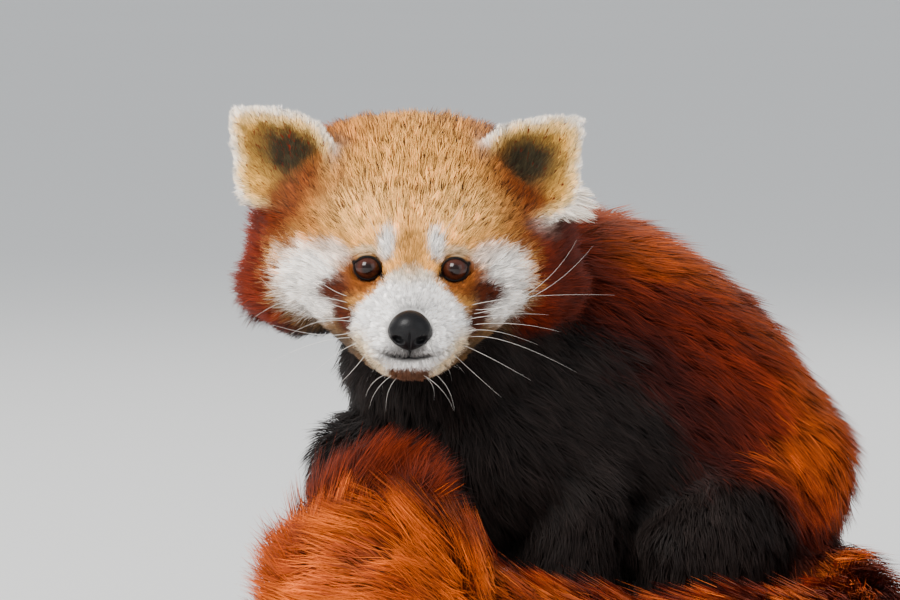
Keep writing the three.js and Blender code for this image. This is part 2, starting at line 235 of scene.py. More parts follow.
def curved(route, count=90):
    """A Catmull-Rom line through the route's points, in metres."""
    points = np.asarray(route, float)
    ends = np.vstack([2 * points[0] - points[1], points, 2 * points[-1] - points[-2]])
    places = np.linspace(0, len(points) - 1 - 1e-9, count)
    line = []
    for place in places:
        i = int(place)
        f = place - i
        p0, p1, p2, p3 = ends[i : i + 4]
        bend = 2 * p0 - 5 * p1 + 4 * p2 - p3
        twist = 3 * p1 - p0 - 3 * p2 + p3
        line.append(p1 + 0.5 * f * ((p2 - p0) + f * (bend + f * twist)))
    return from_route(np.array(line))


def along(points, line):
    """Each point's nearest place on a line: the share of its length, the place and its heading."""
    steps = np.diff(line, axis=0)
    sizes = np.linalg.norm(steps, axis=1)
    starts = np.concatenate([[0.0], np.cumsum(sizes)])
    nearest = np.full(len(points), np.inf)
    share = np.zeros(len(points))
    place = np.zeros_like(points)
    heading = np.zeros_like(points)
    for i, step in enumerate(steps):
        t = np.clip(((points - line[i]) @ step) / sizes[i] ** 2, 0, 1)
        spot_on = line[i] + t[:, None] * step
        gap = np.linalg.norm(points - spot_on, axis=1)
        closer = gap < nearest
        nearest[closer] = gap[closer]
        share[closer] = (starts[i] + t[closer] * sizes[i]) / starts[-1]
        place[closer] = spot_on[closer]
        heading[closer] = step / sizes[i]
    return share, place, heading


SPINE_LINE = curved(SPINE)
TAIL_LINE = curved(TAIL)
TAIL_LENGTH = float(np.linalg.norm(np.diff(TAIL_LINE, axis=0), axis=1).sum())


# Colours


def linear(rgb):
    """Screen colour to the linear values that shaders take."""
    c = np.asarray(rgb, float)
    return np.where(c <= 0.04045, c / 12.92, ((c + 0.055) / 1.055) ** 2.4)


def tone_property(name, description, rgb):
    return bpy.props.FloatVectorProperty(
        name=name, description=description, default=rgb, subtype="COLOR_GAMMA", size=3, min=0, max=1
    )


class PandaColours(bpy.types.PropertyGroup):
    """Colours of the coat, eyes, nose, claws, whiskers and floor"""

    gold: tone_property("Gold", "Forehead and crown", (0.88, 0.625, 0.30))
    orange: tone_property("Orange", "Edge of the crown and round the eyes", (0.74, 0.34, 0.07))
    rust: tone_property("Rust", "Ruff, ear bases and shoulders", (0.47, 0.14, 0.03))
    maroon: tone_property("Maroon", "Flanks, and the bands below the eyes", (0.215, 0.052, 0.024))
    cream: tone_property("Cream", "Jaw edges and the ears' inner band", (0.98, 0.82, 0.52))
    white: tone_property("White", "Cheeks, muzzle, brows and ear rims", (1.0, 0.985, 0.97))
    black: tone_property("Black", "Throat, chest, belly and legs", (0.128, 0.100, 0.091))
    ear_dark: tone_property("Ear dark", "Middle of the ears", (0.18, 0.15, 0.085))
    ear_band: tone_property("Ear band", "Yellow band inside the rims of the ears", (0.80, 0.59, 0.25))
    back_gold: tone_property("Back gold", "Top of the back", (0.70, 0.30, 0.06))
    tail_gold: tone_property("Tail gold", "Pale rings of the tail", (0.84, 0.38, 0.065))
    tail_rust: tone_property("Tail rust", "Dark rings of the tail", (0.48, 0.15, 0.03))
    fleck: tone_property("Fleck", "Dark hairs of the forehead", (0.30, 0.165, 0.085))
    whisker: tone_property("Whisker", "Whiskers", (0.93, 0.91, 0.88))
    claw: tone_property("Claw", "Claws", (0.82, 0.77, 0.68))
    nose: tone_property("Nose", "Nose leather", (0.045, 0.043, 0.052))
    iris: tone_property("Iris", "Iris of the eyes", (0.26, 0.12, 0.075))
    floor: tone_property("Floor", "Floor and surroundings", (0.95, 0.95, 0.945))


def length_property(name, description, size, low, high):
    return bpy.props.FloatProperty(
        name=name, description=description, default=size, min=low, max=high, unit="LENGTH"
    )


def share_property(name, description, low, high):
    return bpy.props.FloatProperty(
        name=name, description=description, default=1.0, min=low, max=high, subtype="FACTOR"
    )


class PandaSizes(bpy.types.PropertyGroup):
    """Sizes of the skin's facets, the hair, the iris and the camera's distance"""

    voxel: length_property("Skin fineness", "Edge of a facet of the skin", 2.3 * MM, 1 * MM, 6 * MM)
    coat_length: share_property("Coat length", "Share of the natural length of the hair", 0.3, 1.3)
    coat_density: share_property("Coat density", "Share of the full number of hairs", 0.05, 1.0)
    hair_width: share_property("Hair width", "Share of the natural width of a lock of hair", 0.5, 4.0)
    iris_radius: length_property("Iris radius", "Half the width of the iris", 5.8 * MM, 3 * MM, 6 * MM)
    camera_distance: length_property("Camera distance", "From the camera to the head", 2.6, 0.5, 6.0)


def tone(name):
    return linear(getattr(bpy.context.scene.panda_colours, name))


def mix(colours, other, mask):
    """Colours turned to another one by a mask."""
    return colours * (1 - mask[:, None]) + np.asarray(other) * mask[:, None]


def painted(points, base, *layers):
    """A base colour under layers, each one a colour and the mask that it shows through."""
    colours = np.tile(base, (len(points), 1))
    for other, mask in layers:
        colours = mix(colours, other, mask)
    return colours


def muzzle_width(z):
    """Half the width of the white muzzle at a height on the face."""
    return np.interp(
        z, [-54, -48, -42, -36, -28, -20, -14, -10, -5, -1, 2, 6],
        [9, 15, 21, 26, 28.5, 27.5, 23.5, 18, 13, 10, 4, -9],
    )


def mouth_height(x):
    """How high the line of the mouth runs at a place across the face."""
    return -39.2 + 0.08 * np.abs(x) + np.minimum(0.014 * x * x, 5.5)


def head_colours(points):
    """Markings of the head, from the gold of the crown to the black beneath the jaw."""
    x, y, z = to_head(points).T
    wide = np.abs(x)
    reach = np.where((x > 0) & (wide > 36), 36 + 1.4 * (wide - 36), wide)
    wave, small = ripple(points, 16, 5), ripple(points, 5, 6)
    gold, orange, rust, cream, white, fleck, leather = (
        tone(n) for n in ("gold", "orange", "rust", "cream", "white", "fleck", "nose")
    )
    front = 1 - smooth(y, 14, 30)
    snout = 1 - smooth(y, -26, -14)
    crown = 0.12 + 0.5 * smooth(z + 0.35 * y + 0.4 * wide + 4 * wave, 66, 92)
    forehead = 0.85 * spot(wide + 3 * wave, z, (0, 40), (27, 48), 0, 0.7)
    temple = 0.75 * smooth(wide + 5 * wave, 28, 52) * smooth(z, 6, 22)
    above_eye = 0.3 * spot(wide, z, (20, 26), (20, 14), 0, 0.6)
    jaw = smooth(-z, 4, 24) * smooth(wide, 18, 32)
    cheek = spot(reach + wave, z + 1.5 * wave, (49.5, -9), (16, 18.5), -14, 0.3)
    cheek_top = 0.6 * spot(wide, z, (36, 7), (8, 5), 25, 0.5)
    eye_ring = 0.9 * spot(wide + small, z + small, (25.5, -3.8), (12.0, 8.4), -12, 0.35)
    tear = spot(wide + small, z + small, (37.0, -11.0), (8.6, 5.8), -8, 0.45)
    tear = np.maximum(tear, spot(wide + small, z, (31.5, -22), (4.8, 11), -26, 0.5))
    under = 0.9 * smooth(-z, 27, 35) * (1 - smooth(wide, 44, 54))
    edge = muzzle_width(z) - wide + 1.2 * small
    muzzle = smooth(edge, -1.5, 2.5) * front
    warmed = 0.8 * (1 - smooth(edge, 2, 12)) * smooth(-z, 22, 34) + 0.6 * smooth(z, -8, 0)
    bridge = 0.8 * spot(x, z, (0, 10), (6.2, 11), 0, 0.45) * front
    brow = 0.95 * spot(wide, z, (12.2, 12.5), (4.2, 8.0), 10, 0.45)
    upper_lid = 0.8 * spot(wide, z, (22, 8.6), (7.5, 2.8), -6, 0.4)
    brow_root = 0.7 * spot(wide, z, (11.4, 4.8), (1.5, 1.4), 0, 0.6)
    chin = 0.97 * smooth(-z, 43.5, 45.5) * (1 - smooth(wide + small, 8.5, 11.5)) * front
    smudge = spot(wide, z, (0, -36.8), (12.5, 3.9), 0, 0.7)
    smudge = 0.78 * snout * np.maximum(smudge, 0.5 * spot(wide, z, (0, -15.0), (8.5, 4.5), 0, 0.7))
    lips = bell(z - mouth_height(x), 1.3) * (1 - smooth(wide, 8, 14))
    lips = np.maximum(lips, bell(x, 0.9) * smooth(z, -41, -39) * (1 - smooth(z, -34, -32)))
    lids = bell(np.hypot((wide - EYE_X) / 6.3, z / 5.7) - 1.0, 0.12)
    lids = np.maximum(lids, spot(wide, z, (EYE_X - 6.3, -2.5), (2.4, 1.6), 24, 0.5))
    lids = np.maximum(lids, spot(wide, z, (EYE_X + 5.9, 2.2), (1.9, 1.4), 30, 0.5))
    side = 0.9 * smooth(reach + 3 * wave, 54, 63) * smooth(z, 2, 12) * (1 - smooth(z, 30, 46))
    ruff = smooth(reach + 3 * wave, 65, 72) * (1 - smooth(z, 26, 44))
    low_ruff = smooth(reach - 1.1 * (z + 12) + 3 * wave, 72, 82) * smooth(-z, 10, 18)
    # Painted shade: the animal's left side of the head behind the cheek, away from the key light, turns
    # a dark rust.
    far_side_shade = 0.85 * smooth(x, 58, 70) * smooth(y, 14, 30) * (1 - smooth(z, 26, 44))
    layers = [
        (orange, crown),
        (gold * 1.3 + cream * 0.08, forehead),
        (orange * 0.3 + fleck * 0.6, temple),
        (cream, above_eye),
        (0.14 * cream + 0.14 * orange, jaw),
        (0.88 * white + 0.1 * cream, cheek),
        (white * 0.9, cheek_top),
        (orange * 0.34 + fleck * 0.2, eye_ring),
        (orange * 0.08 + rust * 0.14, tear),
        (0.5 * fleck + 0.05 * cream, under),
        (white, muzzle),
        (0.75 * cream, warmed * muzzle),
        (gold * 0.55 + fleck * 0.5, bridge),
        (white * 0.85, brow),
        (0.5 * cream + 0.3 * white, upper_lid),
        (fleck * 0.7, brow_root),
        (orange * 0.14 + gold * 0.04, chin),
        (leather * 3 + fleck * 0.2, smudge),
        (leather, np.clip(1.1 * lips * snout, 0, 1)),
        (leather, np.clip(1.2 * lids, 0, 1) * (1 - smooth(y, 6, 10))),
        (rust * 0.6, side),
        (rust * 0.85, np.maximum(ruff, low_ruff)),
        (rust, smooth(y + 3 * wave, 46, 66)),
        # painted shade on the animal's left side of the head
        (rust * 0.42, far_side_shade),
    ]
    for node in EARS:
        local, share = ear_place(points, node)
        plate = 1 - smooth(np.abs(local[:, 1] - 1), 12, 20)
        ear_base = 0.8 * bell(above_the_brow(local) + 4, 9) * bell(local[:, 0] + 4, 16) * plate
        patch = ear_patch(local, small, node) * plate * (1 - smooth(share, 0.9, 1.1))
        layers += [(orange * 0.2 + rust * 0.3, ear_base), (tone("ear_dark"), patch)]
    beneath = smooth(y - 1.2 * (z + 34), 20, 34) * smooth(-z, 30, 38)
    return painted(points, gold, *layers, (tone("black"), beneath))


def body_colours(points):
    """Markings of the neck and trunk: golden above, maroon flanks, black beneath."""
    share, place, _ = along(points, SPINE_LINE)
    upward = np.clip(unit(points - place)[:, 2], -1, 1)
    angle = np.degrees(np.arccos(upward)) + 7 * ripple(points, 38, 9)
    edge = np.interp(share, [0, 0.12, 0.3, 0.6, 0.85, 1], [54, 62, 76, 92, 98, 106])
    top = np.interp(share, [0, 0.16, 0.35, 0.6, 1], [14, 28, 40, 42, 52])
    return painted(
        points, tone("maroon"),
        (tone("rust"), 1 - smooth(angle, edge * 0.5, edge * 0.9)),
        (tone("back_gold"), 0.85 * (1 - smooth(angle, top * 0.6, top * 1.25))),
        (tone("black"), smooth(angle, edge - 9, edge + 6)),
    )


def tail_colours(points):
    """Rings of the tail, with a dark end."""
    share, _, _ = along(points, TAIL_LINE)
    reach = share * TAIL_LENGTH / MM + 5 * ripple(points, 30, 11)
    ring = 0.5 + 0.5 * np.cos(2 * math.pi * reach / RING_SPACING)
    thick = bell(share - 0.74, 0.1)
    return painted(
        points, tone("tail_gold"),
        (tone("tail_rust"), 0.8 * smooth(ripple(points, 28, 13), -0.4, 0.5)),
        (tone("tail_rust"), smooth(ring, 0.4, 0.85) * (1 - 0.6 * thick)),
        (tone("tail_rust") * 0.62, smooth(share, 0.85, 0.89)),
        (tone("black"), smooth(share, 0.95, 0.99)),
    )


def ear_turn(side, turn, tilt):
    """The turn of an ear from its outline into the head's frame."""
    about_z = Matrix.Rotation(math.radians(side * turn), 3, "Z")
    return np.array(about_z @ Matrix.Rotation(-math.radians(tilt), 3, "X"))


def ear_place(points, node):
    """Outward and up on the ear's outline, its depth, and the share of the way to the rim."""
    side, at, turn, tilt = EARS[node]
    local = to_head(points) - np.array(at)
    local = local @ ear_turn(side, turn, tilt)
    local[:, 0] *= side
    corner = np.array(EAR_OUTLINE, float) - np.array(EAR_MIDDLE)
    angles = np.degrees(np.arctan2(corner[:, 1], corner[:, 0])) % 360
    order = np.argsort(angles)
    u, v = local[:, 0] - EAR_MIDDLE[0], local[:, 2] - EAR_MIDDLE[1]
    rim = np.interp(
        np.degrees(np.arctan2(v, u)) % 360, angles[order], np.hypot(*corner[order].T), period=360
    )
    return local, np.hypot(u, v) / rim


def ear_way(vectors, node):
    """Turns directions on the ear's outline into the model's own."""
    side, _, turn, tilt = EARS[node]
    turned = vectors * np.array([side, 1, 1])
    return (turned @ ear_turn(side, turn, tilt).T) @ HEAD_TURN.T


def above_the_brow(local):
    """Millimetres up and outward on the ear from the slanting edge of the crown before it."""
    return (local[:, 2] - 1.0 + 0.93 * local[:, 0]) / 1.37


def ear_patch(local, wave, node):
    """The dark middle of the ear, down to the edge of the crown."""
    patch = spot(local[:, 0] + 1.5 * wave, local[:, 2] + 1.5 * wave, *EAR_PATCH[node], 0.6)
    return patch * smooth(above_the_brow(local), -4, 4)


def low_corner(local, node):
    """1 at the lower corner of the ear that the ruff covers."""
    return smooth(-local[:, 2], 11, 16) if node == "ear_right" else np.zeros(len(local))


def ear_colours(points, normals, node):
    """White rims, a cream band inside them, a dark middle and a rust back."""
    local, share = ear_place(points, node)
    x, _, z = local.T
    wave = ripple(points, 9, 3)
    rim = share + 0.03 * wave
    white, cream, rust = tone("white"), tone("cream"), tone("rust")
    inside = painted(
        points, tone("ear_band"),
        (tone("orange") * 0.6, 0.35 * smooth(-z, 0, 14)),
        (rust * 0.5, 0.7 * bell(above_the_brow(local) + 2, 7) * (1 - smooth(x, 8, 18))),
        (tone("ear_dark"), ear_patch(local, wave, node)),
        (cream, 0.8 * smooth(rim, 0.62, 0.78)),
        (0.75 * white + 0.25 * cream, smooth(rim, 0.76, 0.93)),
    )
    outside = painted(points, rust, (white, smooth(share, 0.8, 0.95)))
    inner = 1 - smooth((normals @ HEAD_TURN)[:, 1], -0.15, 0.25)
    return mix(mix(outside, inside, inner), rust * 0.7, low_corner(local, node))


def coat_colours(points, normals, shares):
    """One set of markings for the skin and the coat, mixed by the share of each kind of flesh."""
    total = head_colours(points) * share_of(shares, "head")[:, None]
    total += body_colours(points) * share_of(shares, "neck", "trunk")[:, None]
    total += tail_colours(points) * share_of(shares, "tail")[:, None]
    total += tone("black") * share_of(shares, "leg", "paw")[:, None]
    for node in EARS:
        total += ear_colours(points, normals, node) * share_of(shares, node)[:, None]
    return total


# Materials


def new_group(name, inputs, output, kind):
    """An empty group with its named sockets: the group, its inputs and its output."""
    group = bpy.data.node_groups.new(name, "ShaderNodeTree")
    for label, socket_kind, value in inputs:
        socket = group.interface.new_socket(label, in_out="INPUT", socket_type=socket_kind)
        socket.default_value = value
    group.interface.new_socket(output, in_out="OUTPUT", socket_type=kind)
    end = group.nodes.new("NodeGroupOutput").inputs[output]
    return group, group.nodes.new("NodeGroupInput").outputs, end


def worked(group, kind, operation, *values):
    """The result of a maths node on sockets or numbers."""
    node = group.nodes.new(kind)
    node.operation = operation
    for socket, value in zip([i for i in node.inputs if i.enabled], values):
        if isinstance(value, bpy.types.NodeSocket):
            group.links.new(value, socket)
        else:
            socket.default_value = value
    return node.outputs[0]


def textured(group, kind, scale, output, detail=None):
    """A texture on the object's own coordinates."""
    texture = group.nodes.new(kind)
    if detail is not None:
        texture.inputs["Detail"].default_value = detail
    place = group.nodes.new("ShaderNodeTexCoord")
    group.links.new(place.outputs["Object"], texture.inputs["Vector"])
    group.links.new(scale, texture.inputs["Scale"])
    return texture.outputs[output]


def hair_tone_group():
    """Varies a colour softly over the surface, as a coat does in patches and in single hairs."""
    name = "Hair tone"
    if name in bpy.data.node_groups:
        return bpy.data.node_groups[name]
    inputs = (
        ("Color", "NodeSocketColor", (0.5, 0.5, 0.5, 1)),
        ("Patch size", "NodeSocketFloat", 40.0),
        ("Amount", "NodeSocketFloat", 0.2),
    )
    group, start, end = new_group(name, inputs, "Color", "NodeSocketColor")
    noise = textured(group, "ShaderNodeTexNoise", start["Patch size"], "Fac", 4)
    centred = worked(group, "ShaderNodeMath", "SUBTRACT", noise, 0.5)
    scaled = worked(group, "ShaderNodeMath", "MULTIPLY_ADD", centred, start["Amount"], 1.0)
    tinted = worked(group, "ShaderNodeVectorMath", "SCALE", start["Color"], scaled)
    group.links.new(tinted, end)
    return group


def fine_grain_group():
    """Height of a fine grain: pores, hair roots or leather pebbles."""
    name = "Fine grain"
    if name in bpy.data.node_groups:
        return bpy.data.node_groups[name]
    inputs = (("Scale", "NodeSocketFloat", 900.0), ("Pebbles", "NodeSocketFloat", 0.5))
    group, start, end = new_group(name, inputs, "Height", "NodeSocketFloat")
    cells = textured(group, "ShaderNodeTexVoronoi", start["Scale"], "Distance")
    noise = textured(group, "ShaderNodeTexNoise", start["Scale"], "Fac", 5)
    pebbles = worked(group, "ShaderNodeMath", "MULTIPLY", cells, start["Pebbles"])
    group.links.new(worked(group, "ShaderNodeMath", "SUBTRACT", noise, pebbles), end)
    return group


def new_material(name, patch, amount, colour=None, grain=None, **values):
    """A material in one varied colour, or in the painted markings, with a grain if it has one.

    The grain is its scale, its pebbles, and the strength and depth of its bump.
    """
    if name in bpy.data.materials:
        return bpy.data.materials[name]
    material = bpy.data.materials.new(name)
    material.use_nodes = True
    nodes, links = material.node_tree.nodes, material.node_tree.links
    shader = nodes["Principled BSDF"]
    for socket, value in values.items():
        shader.inputs[socket.replace("_", " ")].default_value = value
    varied = nodes.new("ShaderNodeGroup")
    varied.node_tree = hair_tone_group()
    varied.inputs["Patch size"].default_value = patch
    varied.inputs["Amount"].default_value = amount
    if colour:
        varied.inputs["Color"].default_value = (*tone(colour), 1)
    else:
        markings = nodes.new("ShaderNodeVertexColor")
        markings.layer_name = "markings"
        links.new(markings.outputs["Color"], varied.inputs["Color"])
    links.new(varied.outputs["Color"], shader.inputs["Base Color"])
    if grain:
        pores = nodes.new("ShaderNodeGroup")
        pores.node_tree = fine_grain_group()
        bump = nodes.new("ShaderNodeBump")
        sockets = ((pores, "Scale"), (pores, "Pebbles"), (bump, "Strength"), (bump, "Distance"))
        for (node, socket), value in zip(sockets, grain):
            node.inputs[socket].default_value = value
        links.new(pores.outputs["Height"], bump.inputs["Height"])
        links.new(bump.outputs["Normal"], shader.inputs["Normal"])
    return material


def hair_material(name, patch=30.0, amount=0.35, roughness=0.62, sheen=0.02, grain=None):
    """Hair or skin in the painted markings."""
    return new_material(
        name, patch, amount, grain=grain, Roughness=roughness, Specular_IOR_Level=0.14,
        Sheen_Weight=sheen, Sheen_Roughness=0.4,
    )


# Meshes


def placed(name, data):
    """A new object in the scene."""
    thing = bpy.data.objects.new(name, data)
    bpy.context.scene.collection.objects.link(thing)
    return thing


def show(mesh, name, material, nodes=()):
    """Places a finished mesh as a piece that rides on the body."""
    piece = placed(name, mesh)
    mesh.materials.clear()
    mesh.materials.append(material)
    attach(piece, "root")
    if nodes:
        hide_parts(*nodes)


def shaded_smooth(mesh):
    mesh.polygons.foreach_set("use_smooth", np.ones(len(mesh.polygons), bool))
    mesh.update()


def grid_mesh(name, rings, closed_ends=True):
    """A mesh from closed rings of equal count, with a point at each end where it is closed."""
    count, sides = len(rings), len(rings[0])
    points = [tuple(p) for ring in rings for p in ring]
    faces = []
    for i in range(count - 1):
        for j in range(sides):
            k = (j + 1) % sides
            a, b = i * sides, (i + 1) * sides
            faces.append((a + j, a + k, b + k, b + j))
    if closed_ends:
        points.append(tuple(np.mean(rings[0], axis=0)))
        points.append(tuple(np.mean(rings[-1], axis=0)))
        first, last = len(points) - 2, len(points) - 1
        top = (count - 1) * sides
        for j in range(sides):
            k = (j + 1) % sides
            faces.append((first, k, j))
            faces.append((last, top + j, top + k))
    mesh = bpy.data.meshes.new(name)
    mesh.from_pydata(points, [], faces)
    shaded_smooth(mesh)
    return mesh


def merged(name, meshes):
    """One mesh from several."""
    work = bmesh.new()
    for mesh in meshes:
        work.from_mesh(mesh)
    bmesh.ops.recalc_face_normals(work, faces=work.faces)
    whole = bpy.data.meshes.new(name)
    work.to_mesh(whole)
    work.free()
    for mesh in meshes:
        bpy.data.meshes.remove(mesh)
    shaded_smooth(whole)
    return whole


def values_of(items, name, width, kind=float):
    """One property of a mesh's vertices, edges, triangles or corners, a row for each."""
    values = np.zeros(len(items) * width, kind)
    items.foreach_get(name, values)
    return values.reshape(-1, width)


def positions(mesh):
    return values_of(mesh.vertices, "co", 3)


def set_positions(mesh, points):
    mesh.vertices.foreach_set("co", points.ravel())
    mesh.update()


def vertex_normals(mesh):
    return values_of(mesh.vertex_normals, "vector", 3)


class Links:
    """Neighbours on a mesh, for averaging values over it."""

    def __init__(self, mesh):
        pairs = values_of(mesh.edges, "vertices", 2, np.int64)
        self.here = np.concatenate([pairs[:, 0], pairs[:, 1]])
        self.there = np.concatenate([pairs[:, 1], pairs[:, 0]])
        self.size = len(mesh.vertices)
        self.count = np.maximum(np.bincount(self.here, minlength=self.size), 1)

    def averaged(self, values, rounds=1):
        for _ in range(rounds):
            columns = [
                np.bincount(self.here, weights=column[self.there], minlength=self.size) / self.count
                for column in values.T
            ]
            values = np.stack(columns, axis=1)
        return values


def paint(mesh, colours):
    """Lays a colour for each vertex on a mesh as its markings."""
    layer = mesh.color_attributes.new(name="markings", type="FLOAT_COLOR", domain="POINT")
    rgba = np.ones((len(mesh.vertices), 4), np.float32)
    rgba[:, :3] = colours
    layer.data.foreach_set("color", rgba.ravel())


# Skin

SKIN = {}


def flesh_whole():
    """The flesh nodes joined, each a hair larger so that they meet, as one even mesh."""
    work = bmesh.new()
    for node in NODES:
        copy = frame["nodes"][node].data.copy()
        set_positions(copy, positions(copy) + vertex_normals(copy) * OVERLAP)
        work.from_mesh(copy)
        bpy.data.meshes.remove(copy)
    joined = bpy.data.meshes.new("flesh")
    work.to_mesh(joined)
    work.free()
    lump = placed("flesh", joined)
    even = lump.modifiers.new("even", "REMESH")
    even.mode = "VOXEL"
    even.voxel_size = bpy.context.scene.panda_sizes.voxel
    shown = lump.evaluated_get(bpy.context.evaluated_depsgraph_get())
    mesh = bpy.data.meshes.new_from_object(shown)
    bpy.data.objects.remove(lump)
    return mesh


def flesh_shares(points):
    """The share of each flesh node at each point: all of it goes to the nearest node."""
    corners, faces, owner = [], [], []
    start = 0
    for index, node in enumerate(NODES):
        mesh = frame["nodes"][node].data
        corners.extend(v.co.copy() for v in mesh.vertices)
        faces.extend(tuple(start + i for i in p.vertices) for p in mesh.polygons)
        owner.extend([index] * len(mesh.polygons))
        start += len(mesh.vertices)
    tree = BVHTree.FromPolygons(corners, faces)
    shares = np.zeros((len(points), len(NODES)))
    for i, point in enumerate(points):
        shares[i, owner[tree.find_nearest(point)[2]]] = 1
    return shares


def by_kind(shares, field):
    """A value of the coat at each point, mixed by the shares of flesh."""
    return shares @ np.array([getattr(COAT[FLESH[n]], field) for n in NODES])


def share_of(shares, *parts):
    """The share of some nodes or kinds of flesh together."""
    return shares[:, [n in parts or FLESH[n] in parts for n in NODES]].sum(axis=1)


def face_distance(points):
    """Millimetres from the tip of the nose."""
    return np.linalg.norm(to_head(points) - np.array([0, -34, -26]), axis=1)


def ruff_mask(points):
    """1 on the long hair at the sides of the head."""
    x, y, z = to_head(points).T
    return smooth(np.abs(x) + 0.35 * y, 70, 92) * (1 - smooth(z, 24, 44))


def hair_length(points, shares):
    """Length of the hair in mm: short by the nose and the eyes, long on the ruff, body and tail."""
    natural = by_kind(shares, "length")
    reach = face_distance(points)
    on_head = np.clip(2.0 + 0.112 * (reach - 6), 2.4, 14.5) * (1 + 0.55 * ruff_mask(points))
    x, y, z = to_head(points).T
    near_eye = bell(np.hypot((np.abs(x) - EYE_X), z), 13) * (1 - smooth(y, 14, 26))
    on_head = on_head * (1 - 0.62 * near_eye)
    share = share_of(shares, "head")
    length = (natural - share * COAT["head"].length) + on_head * share
    return length * bpy.context.scene.panda_sizes.coat_length


def by_the_ears(points):
    """1 where the hair of the head would stand before an ear, and 0 away from the ears."""
    near = np.zeros(len(points))
    for node in EARS:
        local, share = ear_place(points, node)
        before = (1 - smooth(np.abs(local[:, 1] + 4), 14, 22)) * (1 - smooth(share, 0.95, 1.25))
        before *= 0.45 + 0.55 * smooth(above_the_brow(local), -7, 2)
        near = np.maximum(near, before)
    return near


def coat_depth(points, shares):
    """How far the skin lies inside the tips of the coat, in mm."""
    natural = by_kind(shares, "depth")
    share = share_of(shares, "head")
    on_head = 0.42 * hair_length(points, shares)
    behind = to_head(points)[:, 1] > 20
    on_head = np.where(behind, on_head, np.minimum(on_head, 6.0))
    return (natural - share * COAT["head"].depth) + on_head * share


# Hollows and swellings of the face, in mm: the push, the place across and up, and the widths.
FACE_FORMS = {
    "eye socket": (-2.2, (20, -1), (10, 10 / 1.1)),
    "brow": (1.5, (19, 13), (10.5, 7)),
    "cheekbone": (1.2, (37, -10), (12, 12)),
    "bridge of the nose": (1.0, (0, -8), (7, 12)),
    "side of the muzzle": (-1.3, (13, -16), (4, 9)),
    "upper lip": (1.3, (12, -31), (7, 7)),
}


def sculpt_face(points, normals, shares):
    """Sockets, brows, cheekbones, lips and the line of the mouth, pressed into the skin."""
    x, y, z = to_head(points).T
    wide = np.abs(x)
    share = share_of(shares, "head") * (1 - smooth(y, 20, 34))
    push = np.zeros(len(points))
    for depth, place, width in FACE_FORMS.values():
        push += depth * bell((wide - place[0]) / width[0], 1) * bell((z - place[1]) / width[1], 1)
    mouth = bell(z - mouth_height(x), 1.0) * (1 - smooth(wide, 16, 26)) * (1 - smooth(y, -18, -4))
    cleft = bell(x, 0.9) * (1 - smooth(z, -34.5, -33)) * smooth(z, -40, -38.5)
    push -= 2.2 * mouth + 1.3 * cleft * (1 - smooth(y, -26, -18))
    points = points + normals * (push * share * MM)[:, None]
    return behind_lids(points)


def toes_of(points):
    """Millimetres to press the skin in between the toes, which fan out from each paw."""
    push = np.zeros(len(points))
    for paw in (n for n in NODES if FLESH[n] == "paw"):
        tips = np.array([middle_of(f"claw_{paw[4:]}_{i}")[:2] for i in range(1, 6)])
        way = tips.mean(axis=0) - middle_of(paw)[:2]
        way /= np.linalg.norm(way)
        spread = np.linalg.norm(tips[4] - tips[0])
        hub = tips[2] - way * spread / (2 * math.sin(TOES_SPREAD))
        away = points[:, :2] - hub
        reach = np.linalg.norm(away, axis=1) / MM
        turn = np.arctan2(away[:, 0] * way[1] - away[:, 1] * way[0], away @ way)
        between = sum(bell((turn - gap) * reach, 1.5) for gap in TOE_GAPS)
        push -= 2.4 * between * smooth(reach, 8, 14) * (reach < 45) * (points[:, 2] > 1.0 * MM)
    return push


def behind_lids(points):
    """Sinks the skin behind the eyeballs inside the openings of the lids."""
    h = to_head(points)
    away = np.hypot(np.abs(h[:, 0]) - EYE_X, h[:, 2])
    depth = EYE_Y - np.sqrt(np.maximum(6.4**2 - away**2, 0.0)) + 0.3
    inside = (away < 7.4) & (h[:, 1] < 12)
    h[:, 1] = np.where(inside, np.maximum(h[:, 1], depth), h[:, 1])
    return from_head(h)


def unwrap(piece):
    """Lays the skin's own shape out flat, for the places of the hair roots."""
    view = bpy.context.view_layer
    for other in view.objects:
        other.select_set(False)
    piece.select_set(True)
    view.objects.active = piece
    bpy.ops.object.mode_set(mode="EDIT")
    bpy.ops.mesh.select_all(action="SELECT")
    bpy.ops.uv.smart_project(angle_limit=math.radians(66), island_margin=0.001)
    bpy.ops.object.mode_set(mode="OBJECT")
    piece.select_set(False)


def split_fine(mesh):
    """Splits the facets of the face and toes so that they can be shaped."""
    points = positions(mesh)
    x, y, z = to_head(points).T
    fine = (y < 9) & (np.abs(x) < 34) & (z < 16) & (z > -56)
    for claw in (n for n in frame["nodes"] if n.startswith("claw_")):
        fine |= np.linalg.norm(points - middle_of(claw), axis=1) < 11 * MM
    work = bmesh.new()
    work.from_mesh(mesh)
    work.verts.ensure_lookup_table()
    edges = [e for e in work.edges if fine[e.verts[0].index] and fine[e.verts[1].index]]
    bmesh.ops.subdivide_edges(work, edges=edges, cuts=1, use_grid_fill=True)
    bmesh.ops.triangulate(work, faces=[f for f in work.faces if len(f.verts) > 4])
    work.to_mesh(mesh)
    work.free()
    mesh.update()


